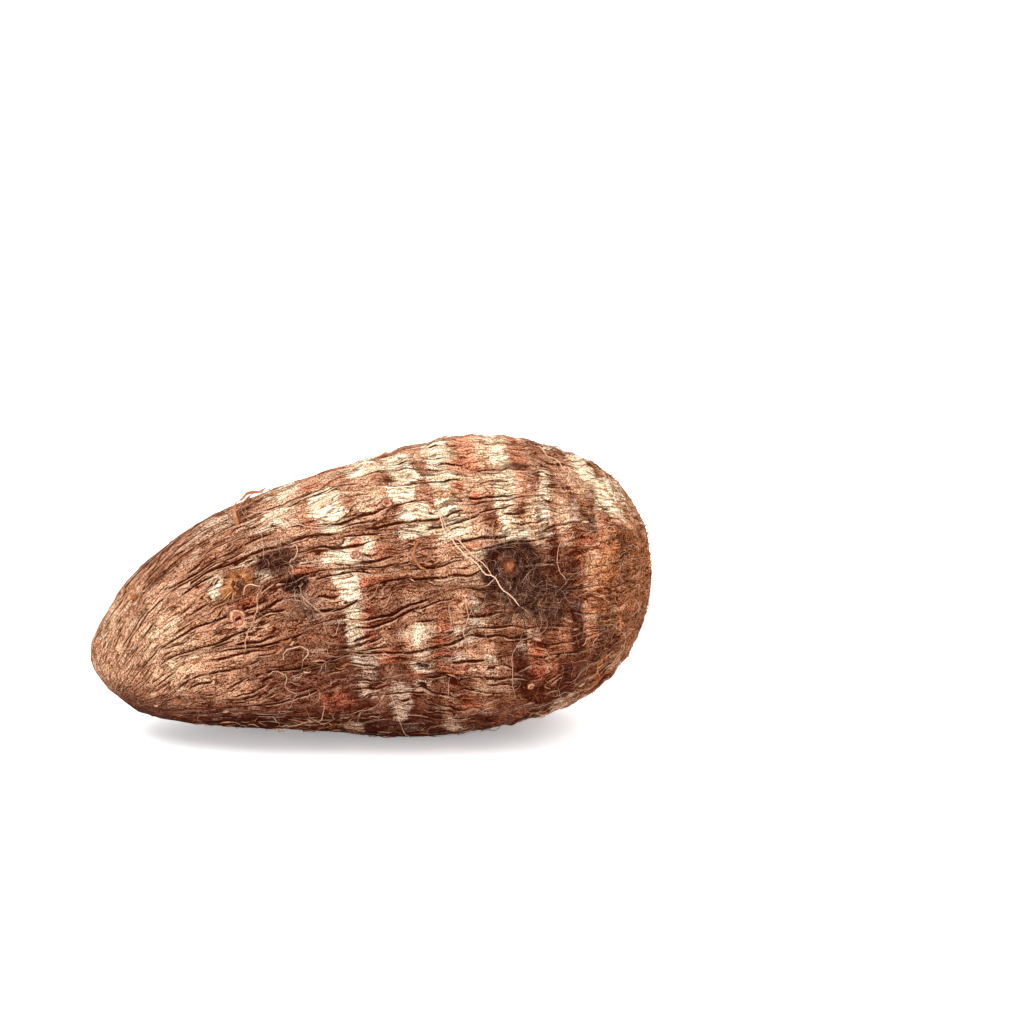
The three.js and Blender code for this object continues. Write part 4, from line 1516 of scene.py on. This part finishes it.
class TARO_OT_fibres(bpy.types.Operator):
    """Build the fibres that lie on the bark, the tangles, the felt and the loose fibres"""

    bl_idname = "taro.fibres"
    bl_label = "Fibres"

    def execute(self, context):
        look = context.scene.taro_fibres
        material = fibre_material("fibre", tuple(look.dark), tuple(look.pale))
        self.lying(material, look.lying)
        self.tangles(fibre_material("tangle", paint(34, 12, 8), paint(196, 150, 122), paint(82, 44, 32)))
        felt = fibre_material("felt", paint(66, 28, 12), paint(216, 160, 110), paint(160, 98, 58))
        self.felt(felt, look.felt)
        self.loose(material, look.loose)
        return {"FINISHED"}

    @staticmethod
    def lying(material, count):
        """Short fibres pressed on the bark, most of them lengthwise, more of them towards the crown."""
        place, side, way, back, long, bend, high, thick, tone = draws(count, LYING_SEED, 9)
        along = 14.0 + 146.0 * np.sqrt(place)
        heading = 1.6 * (way - 0.5) ** 3 * 8.0 + np.where(back > 0.5, 0.0, np.pi)
        length = lerp(3.0, 11.0, long**2)
        lift = lerp(0.08, 0.5, high**2)[:, None] * np.sin(np.pi * even_shares(6)) + 0.05
        radius = lerp(0.05, 0.11, thick)
        curl = swings(bend, 1.8)
        fibres("lying_fibres", along, 360.0 * side, heading, length, curl, lift, radius, tone, material)

    @staticmethod
    def tangles(material):
        """Criss-cross fine fibres round the buds, the holes and the broken root."""
        counts = [spot[4] for spot in TANGLES]
        columns = [np.repeat(column, counts) for column in np.array(TANGLES).T]
        along, around, half_along, half_around, _, tone = columns
        out, turn, way, long, bend, high, thick, own = draws(len(along), TANGLE_SEED, 8)
        spread = np.sqrt(out)
        turn = 6.28 * turn
        along = along + half_along * spread * np.cos(turn)
        around = around + half_around * spread * np.sin(turn)
        length = lerp(2.5, 9.0, long**1.5)
        lift = lerp(0.15, 1.1, high**1.5)[:, None] * np.sin(np.pi * even_shares(8)) + 0.1
        radius = lerp(0.045, 0.12, thick**2)
        tone = np.clip(tone + swings(own, 1.1), 0.0, 1.0)
        curl = swings(bend, 4.0)
        fibres("tangled_fibres", along, around, 6.28 * way, length, curl, lift, radius, tone, material)

    @staticmethod
    def felt(material, count):
        """Short curly fibres that stand up on the bark towards the crown."""
        place, side, way, long, bend, high, thick, own = draws(count, FELT_SEED, 8)
        along = lerp(100.0, 162.0, place**0.75)
        length = lerp(1.2, 4.5, long**2)
        lift = lerp(0.2, 0.9, high**2)[:, None] * np.sqrt(even_shares(5))
        radius = lerp(0.045, 0.09, thick)
        tone = lerp(0.15, 0.95, own)
        curl = swings(bend, 4.0)
        fibres("crown_felt", along, 360.0 * side, 6.28 * way, length, curl, lift, radius, tone, material)

    @staticmethod
    def loose(material, count):
        """Long loose fibres: listed ones through their points, and seeded ones on the other sides."""
        steps = 28
        radius, tone, placed = placed_lines(LOOSE_FIBRES, steps)
        place, side, long, way, bend, high, waves, thick, own = draws(count, LOOSE_SEED, 9)
        along = lerp(55.0, 155.0, place)
        around = 224.0 + 240.0 * side
        length = lerp(10.0, 32.0, long**2)
        seeded = bark_lines(along, around, 6.28 * way, length, steps, swings(bend, 3.0))
        share = even_shares(steps)
        wave = np.abs(np.sin(np.pi * share * (1.0 + 2.0 * waves[:, None])))
        lift = lerp(0.3, 1.2, high)[:, None] * wave + 0.1
        places = [np.concatenate([placed[..., i], extra]) for i, extra in enumerate((*seeded, lift))]
        points, _ = lifted(*places)
        radius = np.concatenate([radius, lerp(0.08, 0.16, thick)])
        tone = np.concatenate([tone, own])
        radii = radius[:, None] * (0.5 + 0.5 * np.sqrt(np.sin(np.pi * lerp(0.03, 0.97, share))))
        tube_object("loose_fibres", points, radii, 5, material, tone, 0.0)


class TARO_OT_flakes(bpy.types.Operator):
    """Build the curled flakes of bark and the leaf-sheath remains at the crown"""

    bl_idname = "taro.flakes"
    bl_label = "Flakes"

    def execute(self, context):
        look = context.scene.taro_fibres
        material = fibre_material("flake", paint(96, 52, 32), tuple(look.pale))
        self.curled(material)
        self.little(material, look.flakes)
        self.sheath(material, look.sheath)
        return {"FINISHED"}

    @staticmethod
    def curled(material):
        """A few larger flakes along listed lines, as wide flat tubes."""
        steps = 12
        width, tone, placed = placed_lines(CURLED_FLAKES, steps)
        points, normals = lifted(placed[..., 0], placed[..., 1], placed[..., 2])
        swell = np.sqrt(np.sin(np.pi * lerp(0.08, 0.92, even_shares(steps))))
        radii = width[:, None] * (0.35 + 0.65 * swell)
        tube_object("curled_flakes", points, radii, 8, material, tone, 0.3, normals, 0.14)

    @staticmethod
    def little(material, count):
        """Small flakes of skin that lift off next to the cracks."""
        place, side, long, way, bend, high, wide, tone, own = draws(count, FLAKE_SEED, 9)
        along = lerp(20.0, 150.0, place)
        around = 360.0 * (np.floor(STRIPS * side) + 0.15) / STRIPS
        length = lerp(1.6, 5.0, long**2)
        steps = 5
        places = bark_lines(along, around, swings(way, 0.5), length, steps, swings(bend, 0.4))
        share = even_shares(steps)
        lift = 0.02 + lerp(0.15, 0.7, high**2)[:, None] * share**2
        points, normals = lifted(*places, lift)
        radii = lerp(0.2, 0.55, wide)[:, None] * np.sin(np.pi * lerp(0.15, 0.85, share))
        tube_object("little_flakes", points, radii, 6, material, lerp(0.3, 0.85, tone), own, normals, 0.3)

    @staticmethod
    def sheath(material, count):
        """Torn fibres of old leaf sheaths that stand up from the ridges of the crown."""
        which, off, side, long, back, way, bend, wide, tone, own = draws(count, SHEATH_SEED, 10)
        ridges = np.array([160.5, 164.8, 167.2, 172.3, 175.8])
        along = ridges[(which * len(ridges)).astype(int)] + swings(off, 0.8)
        steps = 5
        length = lerp(0.6, 1.8, long)
        heading = np.pi * (back > 0.5) + swings(way, 0.8)
        places = bark_lines(along, 360.0 * side, heading, length * 0.5, steps, swings(bend, 1.5))
        share = even_shares(steps)
        points, normals = lifted(*places, 0.7 * length[:, None] * share)
        radii = lerp(0.12, 0.4, wide**2)[:, None] * (1.0 - 0.7 * share)
        tube_object("crown_sheath", points, radii, 5, material, tone, own, normals, 0.4)


class TARO_OT_stage(bpy.types.Operator):
    """Build the floor, the lights and the camera"""

    bl_idname = "taro.stage"
    bl_label = "Stage"

    def execute(self, context):
        stage = context.scene.taro_stage
        self.floor(stage)
        self.lights(context, stage)
        self.camera(context, stage)
        context.scene.view_settings.view_transform = "Standard"
        return {"FINISHED"}

    @staticmethod
    def floor(stage):
        """A large flat square on the ground, and one that stands up behind it."""
        half, depth = 4.0, 1.6
        ground = [(-half, -half, 0), (half, -half, 0), (half, depth, 0), (-half, depth, 0)]
        upright = [(-half, depth, 0), (half, depth, 0), (half, depth, half), (-half, depth, half)]
        colour = tuple(stage.floor)
        made = TARO_OT_stage.sheet("floor", ground, colour, 0.3)
        backdrop = TARO_OT_stage.sheet("wall", upright, colour, 0.6)
        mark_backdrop(made, backdrop)

    @staticmethod
    def sheet(name, corners, colour, glow):
        """One flat square that also gives off a little white light of its own."""
        mesh = bpy.data.meshes.new(name)
        mesh.from_pydata(corners, [], [(0, 1, 2, 3)])
        made = bpy.data.objects.new(name, mesh)
        bpy.context.scene.collection.objects.link(made)
        f = Finish(name, 0.9, 0.1)
        f.put(WHITE, f.shader.inputs["Emission Color"])
        f.put(glow, f.shader.inputs["Emission Strength"])
        mesh.materials.append(f.finish(colour))
        return made

    @staticmethod
    def lights(context, stage):
        """A large light above and left of the camera, weaker ones from four other sides, and an even sky."""
        places = (
            ("key", (-0.8, -0.35, 1.3), 0.9, stage.key),
            ("high", (0.95, -0.3, 1.1), 0.9, 3.2 * stage.fill),
            ("fill", (1.0, -1.1, 0.5), 1.2, 1.4 * stage.fill),
            ("front", (-0.3, -1.3, 0.3), 1.0, stage.fill),
            ("back", (-0.2, 1.0, 1.0), 1.0, stage.fill),
        )
        for name, place, size, power in places:
            light = bpy.data.lights.new(name, "AREA")
            light.shape = "DISK"
            light.size = size
            light.energy = power
            made = bpy.data.objects.new(name, light)
            made.location = place
            aim = np.array([0.0, 0.0, 0.04]) - np.array(place)
            from_z = np.array([-aim[0], -aim[1], -aim[2]])
            made.rotation_euler = (
                math.atan2(math.hypot(from_z[0], from_z[1]), from_z[2]),
                0.0,
                math.atan2(from_z[1], from_z[0]) + math.pi / 2,
            )
            context.scene.collection.objects.link(made)
        world = bpy.data.worlds.new("sky")
        world.use_nodes = True
        background = world.node_tree.nodes["Background"]
        background.inputs["Color"].default_value = (1.0, 1.0, 1.0, 1.0)
        background.inputs["Strength"].default_value = stage.sky
        context.scene.world = world

    @staticmethod
    def camera(context, stage):
        """A view of the near side: the corm's ground point lies left of and below the picture's middle."""
        picture = 1024.0
        sensor = 36.0
        mm_per_pixel = 0.3258
        ground_pixel = (372.6, 725.6)
        a, e = stage.azimuth, stage.elevation
        back = np.array([math.sin(a) * math.cos(e), -math.cos(a) * math.cos(e), math.sin(e)])
        right = np.array([math.cos(a), math.sin(a), 0.0])
        up = np.cross(back, right)
        target = right * (picture / 2 - ground_pixel[0]) + up * (ground_pixel[1] - picture / 2)
        place = target * mm_per_pixel * MM + back * stage.distance
        lens = bpy.data.cameras.new("camera")
        lens.sensor_width = sensor
        lens.lens = sensor * stage.distance / (picture * mm_per_pixel * MM)
        made = bpy.data.objects.new("camera", lens)
        made.location = place
        made.rotation_euler = (math.pi / 2 - e, 0.0, a)
        context.scene.collection.objects.link(made)
        context.scene.camera = made


class TARO_PT_panel(bpy.types.Panel):
    """The taro's pieces and settings in the sidebar"""

    bl_idname = "TARO_PT_panel"
    bl_label = "Taro"
    bl_space_type = "VIEW_3D"
    bl_region_type = "UI"
    bl_category = "Taro"

    def draw(self, context):
        for group in (context.scene.taro_bark, context.scene.taro_fibres, context.scene.taro_stage):
            for name in group.__annotations__:
                self.layout.prop(group, name)
        for operator in OPERATORS:
            self.layout.operator(operator.bl_idname)


OPERATORS = (TARO_OT_stage, TARO_OT_bark, TARO_OT_root_marks, TARO_OT_buds, TARO_OT_fibres, TARO_OT_flakes)
CLASSES = (TaroBarkSettings, TaroFibreSettings, TaroStageSettings, *OPERATORS, TARO_PT_panel)


def register():
    """Adds the classes, and a group of each kind of setting to the scene."""
    for item in CLASSES:
        bpy.utils.register_class(item)
    bpy.types.Scene.taro_bark = bpy.props.PointerProperty(type=TaroBarkSettings)
    bpy.types.Scene.taro_fibres = bpy.props.PointerProperty(type=TaroFibreSettings)
    bpy.types.Scene.taro_stage = bpy.props.PointerProperty(type=TaroStageSettings)


def unregister():
    """Takes the settings and the classes away again."""
    del bpy.types.Scene.taro_stage
    del bpy.types.Scene.taro_fibres
    del bpy.types.Scene.taro_bark
    for item in reversed(CLASSES):
        bpy.utils.unregister_class(item)


def main():
    """Registers the classes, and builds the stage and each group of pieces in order."""
    register()
    bpy.ops.taro.stage()
    bpy.ops.taro.bark()
    bpy.ops.taro.root_marks()
    bpy.ops.taro.buds()
    bpy.ops.taro.fibres()
    bpy.ops.taro.flakes()
    sizes = {"cad": CAD_BOX, "visual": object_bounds()}
    sizes = {key: [[float(number) for number in corner] for corner in box] for key, box in sizes.items()}


if __name__ == "__main__":
    main()
